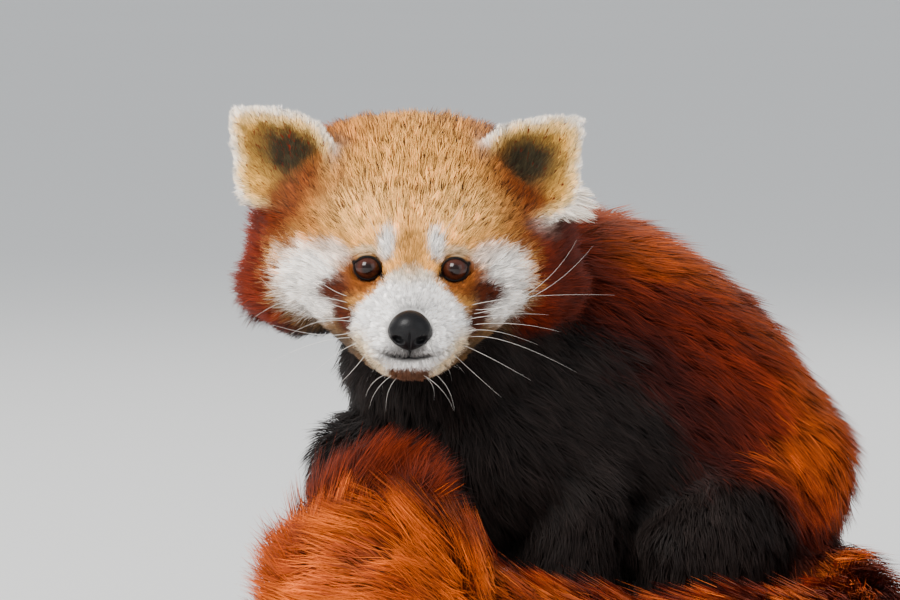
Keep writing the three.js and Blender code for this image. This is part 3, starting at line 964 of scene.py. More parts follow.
def lid_ring(side):
    """A lid all round the eye: a rounded edge on the eyeball that dips under the face outside."""
    profile = (
        (0.94, 6.75), (0.99, 7.04), (1.0, 7.2), (1.02, 7.34), (1.05, 7.44), (1.1, 7.5),
        (1.18, 7.45), (1.3, 7.2), (1.44, 6.8),
    )
    rings = []
    for share, radius in profile:
        ring = []
        for angle in turns(72):
            inner = math.exp(-(((angle - math.pi - 0.4) / 0.30) ** 2))
            outer = math.exp(-(((angle - 0.3 - 2 * math.pi * (angle > 4)) / 0.34) ** 2))
            stretch = share * (1 + 0.22 * inner + 0.12 * outer)
            x = LID_HALF[0] * stretch * math.cos(angle)
            z = LID_HALF[1] * stretch * math.sin(angle) * (0.95 if math.sin(angle) > 0 else 1.0)
            away = min(math.hypot(x, z), radius * 0.999)
            y = EYE_Y - math.sqrt(radius**2 - away**2)
            ring.append((side * (EYE_X + x), y, z))
        rings.append(from_head(ring))
    return grid_mesh("lid", rings, closed_ends=False)


# Rounds of smoothing before the skin sinks under the coat, and the steps in which it sinks.
EVEN_ROUNDS = 22
SINK_STEPS = 8


class PANDA_OT_skin(bpy.types.Operator):
    """Make one skin inside the coat, with the folds of the face and the lids"""

    bl_idname = "panda.skin"
    bl_label = "Skin"

    def execute(self, context):
        mesh = flesh_whole()
        links = Links(mesh)
        points = positions(mesh)
        faces = [tuple(p.vertices) for p in mesh.polygons]
        coat_surface = BVHTree.FromPolygons(points.tolist(), faces)
        shares = links.averaged(flesh_shares(points), 9)
        evenness = by_kind(shares, "evenness")[:, None]
        on_floor = points[:, 2] < 1.2 * MM
        for _ in range(EVEN_ROUNDS):
            points += (links.averaged(points) - points) * evenness
        depth = links.averaged(coat_depth(points, shares)[:, None], 4)
        for _ in range(SINK_STEPS):
            set_positions(mesh, points)
            points -= vertex_normals(mesh) * (depth * MM / SINK_STEPS)
            points += (links.averaged(points) - points) * 0.35 * evenness
        points[on_floor & (share_of(shares, "paw") > 0.5), 2] = SOLE
        points[:, 2] = np.maximum(points[:, 2], SOLE)
        set_positions(mesh, points)
        split_fine(mesh)
        points = positions(mesh)
        links = Links(mesh)
        shares = links.averaged(flesh_shares(points), 10)
        gaps = np.array([coat_surface.find_nearest(p)[3] for p in points.tolist()])
        SKIN["gaps"] = links.averaged(gaps[:, None], 4)[:, 0] / MM
        points = sculpt_face(points, vertex_normals(mesh), shares)
        points += vertex_normals(mesh) * (toes_of(points) * share_of(shares, "paw") * MM)[:, None]
        set_positions(mesh, points)
        shaded_smooth(mesh)
        skin = placed("skin_unwrap", mesh)
        unwrap(skin)
        self.keep(mesh, shares)
        bpy.data.objects.remove(skin)
        whole = merged("skin", [mesh, lid_ring(1), lid_ring(-1)])
        while whole.uv_layers:
            whole.uv_layers.remove(whole.uv_layers[0])
        points = positions(whole)
        count = len(SKIN["points"])
        shares = np.zeros((len(points), len(NODES)))
        shares[:count] = SKIN["shares"]
        shares[count:, NODES.index("head")] = 1
        # The skin takes the coat's markings at 0.65, as painted shade between the locks.
        colours = coat_colours(points, vertex_normals(whole), shares) * 0.65
        x, _, z = to_head(points[count:]).T
        away = np.hypot((np.abs(x) - EYE_X) / LID_HALF[0], z / LID_HALF[1])
        dark = 1 - smooth(away, 1.08, 1.18)
        colours[count:] = mix(colours[count:], linear((0.06, 0.05, 0.05)), dark)
        paint(whole, colours)
        grain = (700.0, 0.6, 0.5, 0.4 * MM)
        material = hair_material("skin under the coat", 120.0, 0.4, 0.7, 0.03, grain)
        show(whole, "skin", material, NODES)
        return {"FINISHED"}

    @staticmethod
    def keep(mesh, shares):
        """Keeps what the coat needs to know of the skin."""
        mesh.calc_loop_triangles()
        loops = values_of(mesh.loop_triangles, "loops", 3, np.int64)
        SKIN["points"] = positions(mesh)
        SKIN["normals"] = vertex_normals(mesh)
        SKIN["shares"] = shares
        SKIN["triangles"] = values_of(mesh.loop_triangles, "vertices", 3, np.int64)
        SKIN["uvs"] = values_of(mesh.uv_layers[0].data, "uv", 2)[loops]


# Coat


def scattered(chance, seed, density):
    """Even but random places on the skin.

    Gives the roots with their normals, shares, gaps below the coat's surface and flat places.
    """
    points, triangles = SKIN["points"], SKIN["triangles"]
    corners = points[triangles]
    first, second, third = corners.transpose(1, 0, 2)
    area = np.linalg.norm(np.cross(second - first, third - first), axis=1) / 2
    wanted = np.cumsum(area / MM**2 * chance * density)
    count = int(wanted[-1])
    rng = np.random.default_rng(seed)
    picks = np.searchsorted(wanted, (np.arange(count) + rng.random(count)) / count * wanted[-1])
    picks = np.minimum(picks, len(triangles) - 1)
    a, b = rng.random((2, count))
    over = a + b > 1
    a[over], b[over] = 1 - a[over], 1 - b[over]
    weights = np.stack([1 - a - b, a, b], axis=1)

    def blend(values):
        return np.einsum("ij,ijk->ik", weights, values)

    chosen = triangles[picks]
    roots = blend(corners[picks])
    normals = unit(blend(SKIN["normals"][chosen]))
    shares = blend(SKIN["shares"][chosen])
    flat = blend(SKIN["uvs"][picks])
    gaps = (weights * SKIN["gaps"][chosen]).sum(axis=1)
    return roots, normals, shares, gaps, flat, rng


def lie_of_coat(roots, normals, shares):
    """The way the hair runs at each root, along the skin."""
    head = to_head(roots)
    from_nose = head - np.array([0, -34, -26])
    from_nose[:, 2] -= 10 * ruff_mask(roots)
    behind = smooth(head[:, 1], 42, 78)[:, None]
    downward = head * np.array([0.012, 0, 0]) + np.array([0, 0.2, -1.0])
    over_head = unit(from_nose) * (1 - behind) + unit(downward) * behind
    _, _, spine_way = along(roots, SPINE_LINE)
    _, _, tail_way = along(roots, TAIL_LINE)
    way = unit(over_head @ HEAD_TURN.T) * share_of(shares, "head")[:, None]
    for node in EARS:
        out = ear_place(roots, node)[0] - np.array([-4.0, 0.0, -16.0])
        out[:, 1] = 0
        way += ear_way(unit(out), node) * share_of(shares, node)[:, None]
    way += unit(spine_way + np.array([0, 0, -0.55])) * share_of(shares, "neck", "trunk")[:, None]
    way += np.array([0.0, -0.12, -1.0]) * share_of(shares, "leg")[:, None]
    for node, lie in PAW_WAYS.items():
        way += unit(np.array([lie])) * share_of(shares, node)[:, None]
    way += tail_way * share_of(shares, "tail")[:, None]
    way -= normals * np.einsum("ij,ij->i", way, normals)[:, None]
    return unit(way)


def clumps_of(roots, normals, size, rng):
    """Numbers the clump that each root belongs to; front and back never share one."""
    waves = np.stack([ripple(roots, 14, seed) for seed in (21, 22, 23)], axis=1)
    warped = roots + size[:, None] * MM * 0.35 * waves
    warped += rng.normal(0, 0.10, roots.shape) * size[:, None] * MM
    step = np.round(size * 2) / 2
    cells = np.floor(warped / (step[:, None] * MM)).astype(np.int64) + 1024
    key = (cells[:, 0] * 2048 + cells[:, 1]) * 2048 + cells[:, 2]
    key = (key * 64 + (step * 2).astype(np.int64)) * 2 + (normals[:, 1] > 0)
    _, number = np.unique(key, return_inverse=True)
    return number.ravel()


def hair_spines(roots, normals, ways, length, lift, steps, clump, pull, rng):
    """Points along each lock of hair, from its root to its tip, drawn together in clumps."""
    count = len(roots)
    clumps = clump.max() + 1
    side = unit(np.cross(ways, normals))
    sway = rng.normal(0, 0.15, clumps)[clump] + rng.normal(0, 0.11, count)
    ways = unit(ways + side * sway[:, None])
    grown = length * MM * rng.uniform(0.84, 1.1, clumps)[clump] * rng.uniform(0.72, 1.12, count)
    raised = lift * rng.uniform(0.8, 1.25, clumps)[clump] * rng.uniform(0.8, 1.2, count)
    spine = [roots - normals * 0.4 * MM]
    for k in range(steps):
        angle = raised * (1.4 - 0.8 * k / max(steps - 1, 1))
        way = ways * np.cos(angle)[:, None] + normals * np.sin(angle)[:, None]
        spine.append(spine[-1] + way * (grown / steps)[:, None])
    bow = rng.normal(0, 0.05, count) * grown
    for k in range(1, steps):
        spine[k] = spine[k] + side * bow[:, None]
    members = np.bincount(clump, minlength=clumps)
    tips = spine[-1]
    sums = [np.bincount(clump, weights=c, minlength=clumps) for c in tips.T]
    meeting = np.stack(sums, axis=1) / members[:, None]
    gap = meeting[clump] - tips
    for k in range(1, steps + 1):
        spine[k] = spine[k] + gap * pull * (k / steps) ** 1.5
        spine[k][:, 2] = np.maximum(spine[k][:, 2], FLOOR_GAP)
    return np.stack(spine, axis=1), ways


def locks_mesh(name, spine, ways, normals, width, colours, flat, rng):
    """Thin tapered ribbons along the spines, coloured from root to tip."""
    count, knots = spine.shape[:2]
    steps = knots - 1
    side = unit(np.cross(ways, normals))
    up = unit(np.cross(side, ways))
    roll = rng.normal(0, 0.45, count)
    across = side * np.cos(roll)[:, None] + up * np.sin(roll)[:, None]
    taper = np.linspace(1, 0, knots) ** 0.55
    taper[0] *= 0.8
    corners = 2 * steps + 1
    points = np.zeros((count, corners, 3))
    paints = np.ones((count, corners, 3), np.float32)
    places = np.zeros((count, corners, 2))
    for k in range(steps):
        half = across * (width * MM * taper[k] / 2)[:, None]
        points[:, 2 * k] = spine[:, k] - half
        points[:, 2 * k + 1] = spine[:, k] + half
        paints[:, 2 * k : 2 * k + 2] = colours[k][:, None, :]
        places[:, 2 * k] = flat + np.array([-PATCH / 2, PATCH * (k / steps - 0.5)])
        places[:, 2 * k + 1] = flat + np.array([PATCH / 2, PATCH * (k / steps - 0.5)])
    points[:, -1] = spine[:, -1]
    paints[:, -1] = colours[-1]
    places[:, -1] = flat + np.array([0.0, PATCH / 2])
    faces = []
    for k in range(steps - 1):
        a = 2 * k
        faces += [(a, a + 1, a + 3), (a, a + 3, a + 2)]
    faces.append((corners - 3, corners - 2, corners - 1))
    loops = (np.arange(count)[:, None, None] * corners + np.array(faces)[None]).reshape(-1)
    mesh = bpy.data.meshes.new(name)
    mesh.vertices.add(count * corners)
    mesh.vertices.foreach_set("co", points.ravel())
    mesh.loops.add(len(loops))
    mesh.loops.foreach_set("vertex_index", loops.astype(np.int32))
    mesh.polygons.add(len(loops) // 3)
    mesh.polygons.foreach_set("loop_start", np.arange(0, len(loops), 3, dtype=np.int32))
    mesh.update(calc_edges=True)
    shaded_smooth(mesh)
    paint(mesh, paints.reshape(-1, 3))
    bake = mesh.uv_layers.new(name="OFBake")
    bake.data.foreach_set("uv", np.clip(places.reshape(-1, 2)[loops], 0, 1).ravel())
    facing = unit(normals * 0.8 + up * 0.35 + rng.normal(0, 0.12, (count, 3)))
    soft = mesh.attributes.new("custom_normal", "FLOAT_VECTOR", "POINT")
    soft.data.foreach_set("vector", np.repeat(facing, corners, axis=0).astype(np.float32).ravel())
    mesh.update()
    return mesh


def lock_colours(base, steps, painted_shade_and_highlight, flecked, clump, rng):
    """Colours from root to tip: darker at the root as painted shade, brighter at the tip as a painted
    highlight, and flecks among them.
    """
    count = len(base)
    clumps = clump.max() + 1
    bright = np.exp(rng.normal(0, 0.16, clumps)[clump] + rng.normal(0, 0.22, count))
    fleck = (rng.random(count) < 0.3 * flecked)[:, None]
    body = np.where(fleck, tone("fleck") * 0.8, base) * bright[:, None]
    # Painted shade darkens each lock towards its root, and a painted highlight brightens its tip above
    # 1.
    return [body * np.interp(k / steps, [0, 0.35, 0.75, 1], painted_shade_and_highlight) for k in range(steps + 1)]


def head_chance(points):
    """More and finer hairs on the face than behind it."""
    front = 1 - smooth(to_head(points)[:, 1], 22, 60)
    near = 1 - smooth(face_distance(points), 25, 60)
    return 0.75 + 0.75 * front + 1.4 * near * front


def hair_grows(points, shares):
    """1 where hair grows, and 0 on the nose, the lips and the lids."""
    x, y, z = to_head(points).T
    eye = np.hypot((np.abs(x) - EYE_X) / LID_HALF[0], z / LID_HALF[1]) / 1.1
    grown = smooth(eye, 0.98, 1.03)
    nose = np.hypot(x / NOSE_HALVES[0], (z - NOSE_MIDDLE[2]) / NOSE_HALVES[2]) / 0.97
    grown *= np.where(y < -24, smooth(nose, 0.98, 1.04), 1.0)
    mouth = bell(z - mouth_height(x), 1.0) * (1 - smooth(np.abs(x), 9, 15))
    grown *= np.where(y < -20, 1 - smooth(mouth, 0.4, 0.7), 1.0)
    on_head = share_of(shares, "head") > 0.3
    return np.where(on_head, grown, 1.0)


def grow_coat(name, kinds, seed, pull, painted_shade_and_highlight):
    """Covers the skin of some kinds of flesh with locks of hair, in pieces of a fair size.

    The pull draws the locks of a clump together, and the shade runs from their roots to their tips:
    painted shade at the roots and a painted highlight at the tips.
    """
    if not SKIN:
        raise RuntimeError("The skin comes before the coat")
    sizes = bpy.context.scene.panda_sizes
    density = sizes.coat_density * 1.0
    wider = sizes.hair_width * 1.0
    triangles = SKIN["triangles"]
    middles = SKIN["points"][triangles].mean(axis=1)
    shares = SKIN["shares"][triangles].mean(axis=1)
    main = np.array([FLESH[n] for n in NODES])[shares.argmax(axis=1)]
    chance = by_kind(shares, "density") * np.isin(main, kinds)
    if "head" in kinds:
        chance *= head_chance(middles)
    roots, normals, shares, gaps, flat, rng = scattered(chance, seed, density)
    kept = rng.random(len(roots)) < hair_grows(roots, shares)
    roots, normals, shares, gaps, flat = (v[kept] for v in (roots, normals, shares, gaps, flat))
    ways = lie_of_coat(roots, normals, shares)
    on_head = share_of(shares, "head")
    length = np.maximum(hair_length(roots, shares), 1.25 * gaps)
    length *= 1 - 0.78 * by_the_ears(roots) * on_head
    width = by_kind(shares, "width") * wider
    width *= 1 - 0.35 * on_head * (1 - smooth(length, 3, 9))
    lift = np.arcsin(np.clip(gaps / length, 0.12, 0.8))
    size = by_kind(shares, "clump") * (1 - 0.4 * on_head * (1 - smooth(length, 4, 12)))
    clump = clumps_of(roots, normals, size, rng)
    spine, ways = hair_spines(roots, normals, ways, length, lift, LOCK_STEPS, clump, pull, rng)
    strayed = rng.normal(0, 1, roots.shape) * np.clip(length * 0.13, 0.6, 3.0)[:, None] * MM
    base = coat_colours(0.4 * roots + 0.6 * spine[:, -1] + strayed, normals, shares)
    flecked = on_head * smooth(to_head(roots)[:, 2], 8, 30) * smooth(length, 6, 9)
    colours = lock_colours(base, LOCK_STEPS, painted_shade_and_highlight, flecked, clump, rng)
    order = np.argsort(roots[:, 0], kind="stable")
    parts = max(1, math.ceil(len(roots) / MOST_LOCKS))
    material = hair_material(f"hair of the {name}")
    for number, chosen in enumerate(np.array_split(order, parts)):
        label = f"coat_{name}_{number + 1}" if parts > 1 else f"coat_{name}"
        mesh = locks_mesh(
            label, spine[chosen], ways[chosen], normals[chosen], width[chosen],
            [c[chosen] for c in colours], flat[chosen], rng,
        )
        show(mesh, label, material)


class PANDA_OT_head_coat(bpy.types.Operator):
    """Grow the hair of the face, crown and ruff"""

    bl_idname = "panda.head_coat"
    bl_label = "Head coat"

    def execute(self, context):
        grow_coat("head", ["head"], 101, pull=0.35, painted_shade_and_highlight=(0.62, 0.86, 1.05, 1.2))
        return {"FINISHED"}


class PANDA_OT_ear_coat(bpy.types.Operator):
    """Grow the hair of the ears, with the fringes of their rims"""

    bl_idname = "panda.ear_coat"
    bl_label = "Ear coat"

    def execute(self, context):
        grow_coat("ears", ["ear"], 102, pull=0.35, painted_shade_and_highlight=(0.6, 0.9, 1.05, 1.15))
        self.fringes()
        return {"FINISHED"}

    @staticmethod
    def fringes():
        """Longer pale hair that stands out from the rims, and tufts at the lower outer corners."""
        sizes = bpy.context.scene.panda_sizes
        on_ear = share_of(SKIN["shares"][SKIN["triangles"]].mean(axis=1), "ear") > 0.45
        roots, normals, shares, _, flat, rng = scattered(on_ear, 103, 3.2 * sizes.coat_density)
        ways = np.zeros_like(roots)
        length = np.zeros(len(roots))
        for node in EARS:
            mine = share_of(shares, node) > 0.4
            local, share = ear_place(roots, node)
            out = local - np.array([EAR_MIDDLE[0] - 4, 0.0, EAR_MIDDLE[1] - 10])
            out[:, 1] = 0
            tuft = smooth(local[:, 0], 14, 22) * (1 - smooth(local[:, 2], -8, 2))
            out = unit(out) + tuft[:, None] * np.array([0.9, 0.25, -0.35])
            ways[mine] = ear_way(unit(out), node)[mine]
            rim = smooth(share, 0.72, 0.86) * (1 - low_corner(local, node))
            length[mine] = (rim * (3.0 + TUFT[node] * tuft))[mine]
        kept = length > 1.5
        roots, normals, ways, length, flat = (v[kept] for v in (roots, normals, ways, length, flat))
        lift = np.radians(rng.normal(8, 9, len(roots)))
        clump = clumps_of(roots, normals, np.full(len(roots), 4.5), rng)
        spine, ways = hair_spines(roots, normals, ways, length, lift, 3, clump, 0.4, rng)
        base = np.tile(0.75 * tone("white") + 0.25 * tone("cream"), (len(roots), 1))
        colours = lock_colours(base, 3, (0.75, 0.95, 1.0, 1.05), np.zeros(len(roots)), clump, rng)
        width = np.full(len(roots), COAT["ear"].width) * sizes.hair_width
        mesh = locks_mesh("coat_ear_fringe", spine, ways, normals, width, colours, flat, rng)
        show(mesh, "coat_ear_fringe", hair_material("hair of the ears"))


class PANDA_OT_body_coat(bpy.types.Operator):
    """Grow the hair of the neck and trunk"""

    bl_idname = "panda.body_coat"
    bl_label = "Body coat"

    def execute(self, context):
        grow_coat("body", ["neck", "trunk"], 104, pull=0.38, painted_shade_and_highlight=(0.2, 0.55, 1.0, 1.45))
        return {"FINISHED"}


class PANDA_OT_leg_coat(bpy.types.Operator):
    """Grow the hair of the legs and paws"""

    bl_idname = "panda.leg_coat"
    bl_label = "Leg coat"

    def execute(self, context):
        grow_coat("legs", ["leg", "paw"], 105, pull=0.35, painted_shade_and_highlight=(0.6, 0.9, 1.1, 1.4))
        return {"FINISHED"}


class PANDA_OT_tail_coat(bpy.types.Operator):
    """Grow the long ringed hair of the tail"""

    bl_idname = "panda.tail_coat"
    bl_label = "Tail coat"

    def execute(self, context):
        grow_coat("tail", ["tail"], 106, pull=0.4, painted_shade_and_highlight=(0.16, 0.5, 0.98, 1.45))
        return {"FINISHED"}


# Eyes, nose, claws and whiskers


class PANDA_OT_eyes(bpy.types.Operator):
    """Make the two wet brown eyes"""

    bl_idname = "panda.eyes"
    bl_label = "Eyes"

    def execute(self, context):
        iris = context.scene.panda_sizes.iris_radius / MM
        for node, side in (("eye_left", 1), ("eye_right", -1)):
            rings, paints = [], []
            for k in range(1, 40):
                angle = math.pi * (k / 40) ** 1.25
                radius = EYE_RADIUS - 0.05 + 0.35 * math.exp(-((math.degrees(angle) / 38) ** 4))
                away, ahead = radius * math.sin(angle), radius * math.cos(angle)
                ring = [
                    (side * EYE_X + away * math.cos(a), EYE_Y - ahead, away * math.sin(a))
                    for a in turns(EYE_SIDES)
                ]
                rings.append(from_head(ring))
                paints.append(self.colour(EYE_RADIUS * math.sin(angle) if ahead > 0 else 99.0, iris))
            mesh = merged(node, [grid_mesh("eyeball", rings)])
            colours = np.repeat(np.array(paints), EYE_SIDES, axis=0)
            paint(mesh, np.vstack([colours, paints[0][None], paints[-1][None]]))
            material = new_material(
                "wet eye", 500.0, 0.5, Roughness=0.3, Specular_IOR_Level=0.05,
                Coat_Weight=1.0, Coat_Roughness=0.02, Coat_IOR=1.38,
            )
            show(mesh, f"eyeball_{node[4:]}", material, [node])
        return {"FINISHED"}

    @staticmethod
    def colour(away, iris):
        """The colour at a distance from the middle of the pupil."""
        ring = tone("iris")
        pupil, rim, white = ring * 0.14, ring * 0.2, linear((0.30, 0.22, 0.20))
        values = [pupil, pupil, ring * 0.75, ring, ring * 0.7, rim, white]
        places = [0, 2.0, 3.1, iris - 2.0, iris - 0.9, iris + 0.2, iris + 0.8]
        return np.array([np.interp(away, places, [v[c] for v in values]) for c in range(3)])


class PANDA_OT_nose(bpy.types.Operator):
    """Make the nose leather with its nostrils and the cleft between them"""

    bl_idname = "panda.nose"
    bl_label = "Nose"

    def execute(self, context):
        rows, columns = 70, 96
        rings = []
        for i in range(1, rows):
            polar = math.pi * i / rows
            out, ahead = math.sin(polar), math.cos(polar)
            ring = [self.shaped(out * math.cos(a), -ahead, out * math.sin(a)) for a in turns(columns)]
            rings.append(from_head(ring))
        mesh = merged("nose_leather", [grid_mesh("nose", rings)])
        material = new_material(
            "nose leather", 300.0, 0.6, "nose", (1500.0, 1.2, 0.35, 0.25 * MM),
            Roughness=0.5, Specular_IOR_Level=0.16, Coat_Weight=0.16, Coat_Roughness=0.25,
        )
        show(mesh, "nose_leather", material, ["nose"])
        return {"FINISHED"}

    @staticmethod
    def shaped(x, y, z):
        """A point of the unit ball moved onto the nose."""
        px = NOSE_HALVES[0] * x * (1 - 0.09 * z if z > 0 else 1 - 0.38 * z**4)
        py = NOSE_HALVES[1] * y * (1 + 0.15 * z)
        pz = NOSE_HALVES[2] * z
        if y < 0.2:
            across = (abs(px) - 5.4) / 2.3
            height = (pz + 3.9 - 0.30 * (abs(px) - 5.4)) / 1.6
            pit = math.exp(-((across * across + height * height) ** 1.5))
            slit = math.exp(-(((abs(px) - 8.3) / 2.0) ** 2) - ((pz + 4.9) / 0.8) ** 2)
            rim = math.exp(-(((math.hypot(across, height) - 1.45) / 0.35) ** 2))
            cleft = math.exp(-((px / 0.55) ** 2)) * (1 / (1 + math.exp((pz + 0.5) * 1.6)))
            py += 3.6 * pit + 1.4 * slit + 0.9 * cleft - 0.35 * rim
        return (NOSE_MIDDLE[0] + px, NOSE_MIDDLE[1] + py, NOSE_MIDDLE[2] + pz)


class PANDA_OT_claws(bpy.types.Operator):
    """Make the hooked claws at the front of the paws"""

    bl_idname = "panda.claws"
    bl_label = "Claws"

    def execute(self, context):
        names = sorted(n for n in frame["nodes"] if n.startswith("claw_"))
        meshes = []
        for name in names:
            paw = "paw_" + "_".join(name.split("_")[1:3])
            points = positions(frame["nodes"][name].data)
            reach = np.linalg.norm((points - middle_of(paw))[:, :2], axis=1)
            start, tip = points[np.argmin(reach)], points[np.argmax(reach)]
            lines = np.array([tip - middle_of(paw), tip - start]) * np.array([1, 1, 0])
            ahead = unit(unit(lines).sum(axis=0)[None])[0]
            meshes.append(self.hook(points[:, 2].mean(), tip, ahead))
        mesh = merged("claws", meshes)
        material = new_material(
            "claw horn", 260.0, 0.8, "claw", (900.0, 0.1, 0.2, 0.1 * MM),
            Roughness=0.32, Specular_IOR_Level=0.5, Coat_Weight=0.3, Coat_Roughness=0.2,
        )
        show(mesh, "claws", material, names)
        return {"FINISHED"}

    @staticmethod
    def hook(height, tip, ahead):
        """A claw of tapering rings that ends at its tip."""
        side = np.array([-ahead[1], ahead[0], 0.0])
        rings = []
        for t in np.linspace(0, 1, 9):
            centre = tip - ahead * 13.5 * MM * (1 - t)
            centre[2] = max(height + (1.2 - 4.2 * t * t) * MM, 1.2 * MM)
            radius = 2.0 * MM * (1 - t) ** 0.55 + 0.12 * MM
            across, upward = side * radius * 0.8, np.array([0, 0, radius * 1.1])
            rings.append([centre + across * math.cos(a) + upward * math.sin(a) for a in turns(12)])
        return grid_mesh("claw", rings)


# Whiskers: root, bend and tip on the face, in mm across and up, for the animal's left and right.
WHISKERS = {
    1: (
        ((28, -16), (58, -11), (98, -12)), ((29, -18), (60, -10), (87, 12)),
        ((28, -20), (58, -8), (79, 15)), ((27, -31), (48, -33), (80, -49)),
        ((29, -25), (50, -24), (72, -29)), ((27, -22), (47, -19), (66, -20)),
        ((24, -34), (38, -40), (58, -52)), ((26, -28), (40, -27), (61, -35)),
        ((20, -38), (30, -47), (44, -60)), ((12, 5), (16, 18), (27, 33)),
    ),
    -1: (
        ((28, -16), (56, -14), (80, -29)), ((29, -13), (40, -8), (52, 1)),
        ((28, -19), (48, -14), (70, -15)), ((27, -24), (44, -24), (60, -33)),
        ((26, -28), (42, -30), (66, -27)), ((27, -32), (46, -35), (68, -47)),
        ((24, -34), (36, -40), (50, -54)), ((20, -38), (28, -48), (40, -61)),
        ((27, -21), (50, -20), (72, -4)), ((12, 5), (17, 17), (25, 32)),
    ),
}
WHISKER_RADIUS = 0.115
CHIN_WHISKERS = 14
CHIN_WHISKER_RADIUS = 0.1


class PANDA_OT_whiskers(bpy.types.Operator):
    """Make the whiskers of the muzzle, brows and chin"""

    bl_idname = "panda.whiskers"
    bl_label = "Whiskers"

    def execute(self, context):
        rng = np.random.default_rng(107)
        tree = BVHTree.FromPolygons([Vector(p) for p in SKIN["points"]], SKIN["triangles"].tolist())
        meshes = []
        for side, lines in WHISKERS.items():
            for root, bend, tip in lines:
                meshes.append(self.whisker(tree, side, root, bend, tip, WHISKER_RADIUS, rng))
        for k in range(CHIN_WHISKERS):
            side = 1 if k % 2 else -1
            across = rng.uniform(3, 16)
            root = (across, rng.uniform(-51, -47))
            tip = (across + rng.uniform(4, 20), rng.uniform(-68, -58))
            bend = ((root[0] + tip[0]) / 2 + 2, (root[1] + tip[1]) / 2 + 2)
            meshes.append(self.whisker(tree, side, root, bend, tip, CHIN_WHISKER_RADIUS, rng))
        mesh = merged("whiskers", meshes)
        material = new_material("whisker", 90.0, 0.3, "whisker", Roughness=0.35, Specular_IOR_Level=0.5)
        show(mesh, "whiskers", material)
        return {"FINISHED"}

    @staticmethod
    def whisker(tree, side, root, bend, tip, radius, rng):
        """One tapering whisker from its root on the skin."""
        start = Vector(from_head([(side * root[0], -120, root[1])])[0])
        ahead = Vector(HEAD_TURN @ np.array([0.0, 1.0, 0.0]))
        hit = tree.ray_cast(start, ahead)[0]
        if hit is None:
            raise RuntimeError(f"A whisker at {root} starts off the face")
        first = to_head(np.array([hit]))[0] + np.array([0, 0.8, 0])
        reach = np.array([side * tip[0], 0, tip[1]]) - np.array([side * root[0], 0, root[1]])
        spread = np.linalg.norm(reach)
        last = np.array([side * tip[0], first[1] + 0.22 * spread + rng.uniform(-4, 4), tip[1]])
        between = np.array([side * bend[0], first[1] - 3 + 0.03 * spread, bend[1]])
        control = 2 * between - (first + last) / 2
        rings = []
        for t in np.linspace(0, 1, 15):
            centre = (1 - t) ** 2 * first + 2 * t * (1 - t) * control + t * t * last
            heading = 2 * (1 - t) * (control - first) + 2 * t * (last - control)
            heading /= np.linalg.norm(heading)
            flat = np.cross(heading, [0.0, 1.0, 0.05])
            flat /= np.linalg.norm(flat)
            over = np.cross(heading, flat)
            size = radius * (1 - 0.8 * t)
            ring = [centre + size * (flat * math.cos(a) + over * math.sin(a)) for a in turns(4)]
            rings.append(from_head(ring))
        return grid_mesh("whisker", rings)


# Floor, lights and camera


# Soft lights: place from the head in m, width in m, power in W, and colour. The floor reaches
# far past the edge of the picture.
LIGHTS = {
    "key": ((-1.1, -1.7, 1.35), 1.2, 92, (1.0, 0.98, 0.95)),
    "fill": ((1.9, -1.6, 0.7), 1.6, 10, (0.95, 0.97, 1.0)),
    "rim": ((0.7, 1.9, 1.5), 1.2, 17, (1.0, 0.97, 0.92)),
    "side": ((-1.7, 1.2, 0.9), 1.0, 9, (1.0, 0.98, 0.96)),
}
FLOOR_REACH = 45.0


def aimed(name, data, place, target):
    """A lamp or a camera at a place, turned to a target."""
    thing = placed(name, data)
    thing.location = place
    thing.rotation_euler = (target - place).to_track_quat("-Z", "Y").to_euler()
    return thing


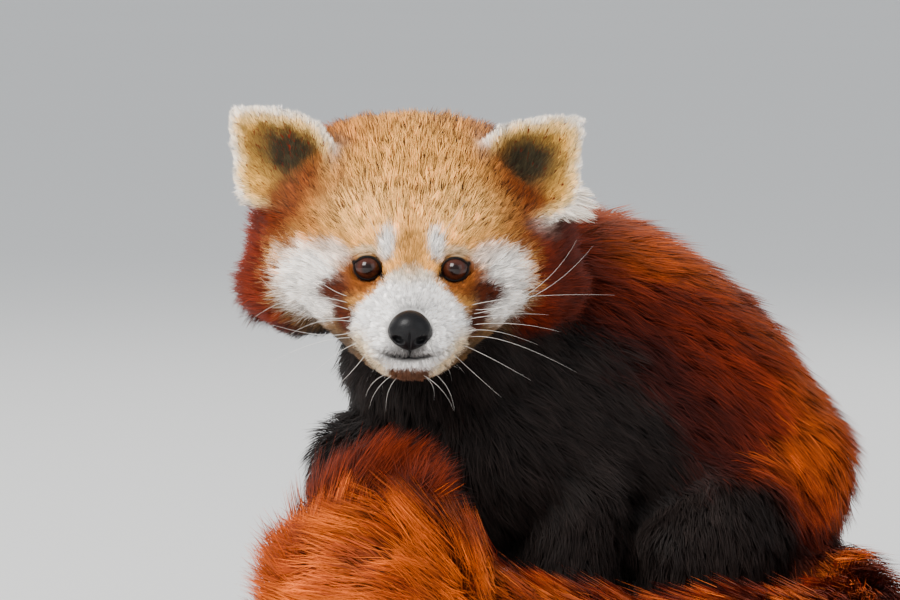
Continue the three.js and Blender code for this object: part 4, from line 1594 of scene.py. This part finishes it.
class PANDA_OT_stage(bpy.types.Operator):
    """Set the pale floor, the soft lights and the camera"""

    bl_idname = "panda.stage"
    bl_label = "Stage"

    def execute(self, context):
        reach = FLOOR_REACH
        mesh = bpy.data.meshes.new("floor")
        corners = [(-reach, -reach, 0), (reach, -reach, 0), (reach, reach, 0), (-reach, reach, 0)]
        mesh.from_pydata(corners, [], [(0, 1, 2, 3)])
        floor = placed("floor", mesh)
        mesh.materials.append(
            new_material("pale floor", 0.4, 0.03, "floor", Roughness=0.8, Specular_IOR_Level=0.2)
        )
        self.light(context)
        self.place_camera(context)
        return {"FINISHED"}

    @staticmethod
    def light(context):
        world = bpy.data.worlds.new("pale room")
        world.use_nodes = True
        sky = world.node_tree.nodes["Background"]
        sky.inputs["Color"].default_value = (0.93, 0.96, 1.0, 1)
        sky.inputs["Strength"].default_value = 0.72
        context.scene.world = world
        head = Vector(EYES_MIDDLE)
        for name, (place, size, power, colour) in LIGHTS.items():
            lamp = bpy.data.lights.new(name, "AREA")
            lamp.shape = "SQUARE"
            lamp.size = size
            lamp.energy = power
            lamp.color = colour
            aimed(name, lamp, head + Vector(place), head)

    @staticmethod
    def place_camera(context):
        distance = context.scene.panda_sizes.camera_distance
        target = Vector(EYES_MIDDLE) + Vector(PICTURE_MIDDLE) * MM
        lens = bpy.data.cameras.new("camera")
        lens.sensor_width = 36
        lens.lens = lens.sensor_width * distance / (MM_PER_PIXEL * MM * PHOTO_WIDTH)
        lens.clip_start = 0.05
        lens.clip_end = 200
        back = Vector((0, -math.cos(CAMERA_RISE), math.sin(CAMERA_RISE)))
        context.scene.camera = aimed("camera", lens, target + distance * back, target)


class PANDA_PT_sidebar(bpy.types.Panel):
    """Lists the pieces, their sizes and their colours"""

    bl_idname = "PANDA_PT_sidebar"
    bl_label = "Red panda"
    bl_space_type = "VIEW_3D"
    bl_region_type = "UI"
    bl_category = "Red panda"

    def draw(self, context):
        layout = self.layout
        for operator in OPERATORS:
            layout.operator(operator.bl_idname)
        for group in (context.scene.panda_sizes, context.scene.panda_colours):
            box = layout.box()
            for name in group.__annotations__:
                box.prop(group, name)


OPERATORS = (
    PANDA_OT_skin,
    PANDA_OT_head_coat,
    PANDA_OT_ear_coat,
    PANDA_OT_body_coat,
    PANDA_OT_leg_coat,
    PANDA_OT_tail_coat,
    PANDA_OT_eyes,
    PANDA_OT_nose,
    PANDA_OT_claws,
    PANDA_OT_whiskers,
    PANDA_OT_stage,
)
CLASSES = (PandaColours, PandaSizes, *OPERATORS, PANDA_PT_sidebar)


def register():
    for entry in CLASSES:
        bpy.utils.register_class(entry)
    bpy.types.Scene.panda_colours = bpy.props.PointerProperty(type=PandaColours)
    bpy.types.Scene.panda_sizes = bpy.props.PointerProperty(type=PandaSizes)


def unregister():
    del bpy.types.Scene.panda_sizes
    del bpy.types.Scene.panda_colours
    for entry in reversed(CLASSES):
        bpy.utils.unregister_class(entry)


def main():
    register()
    for operator in OPERATORS:
        group, name = operator.bl_idname.split(".")
        getattr(getattr(bpy.ops, group), name)()
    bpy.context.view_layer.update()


if __name__ == "__main__":
    main()
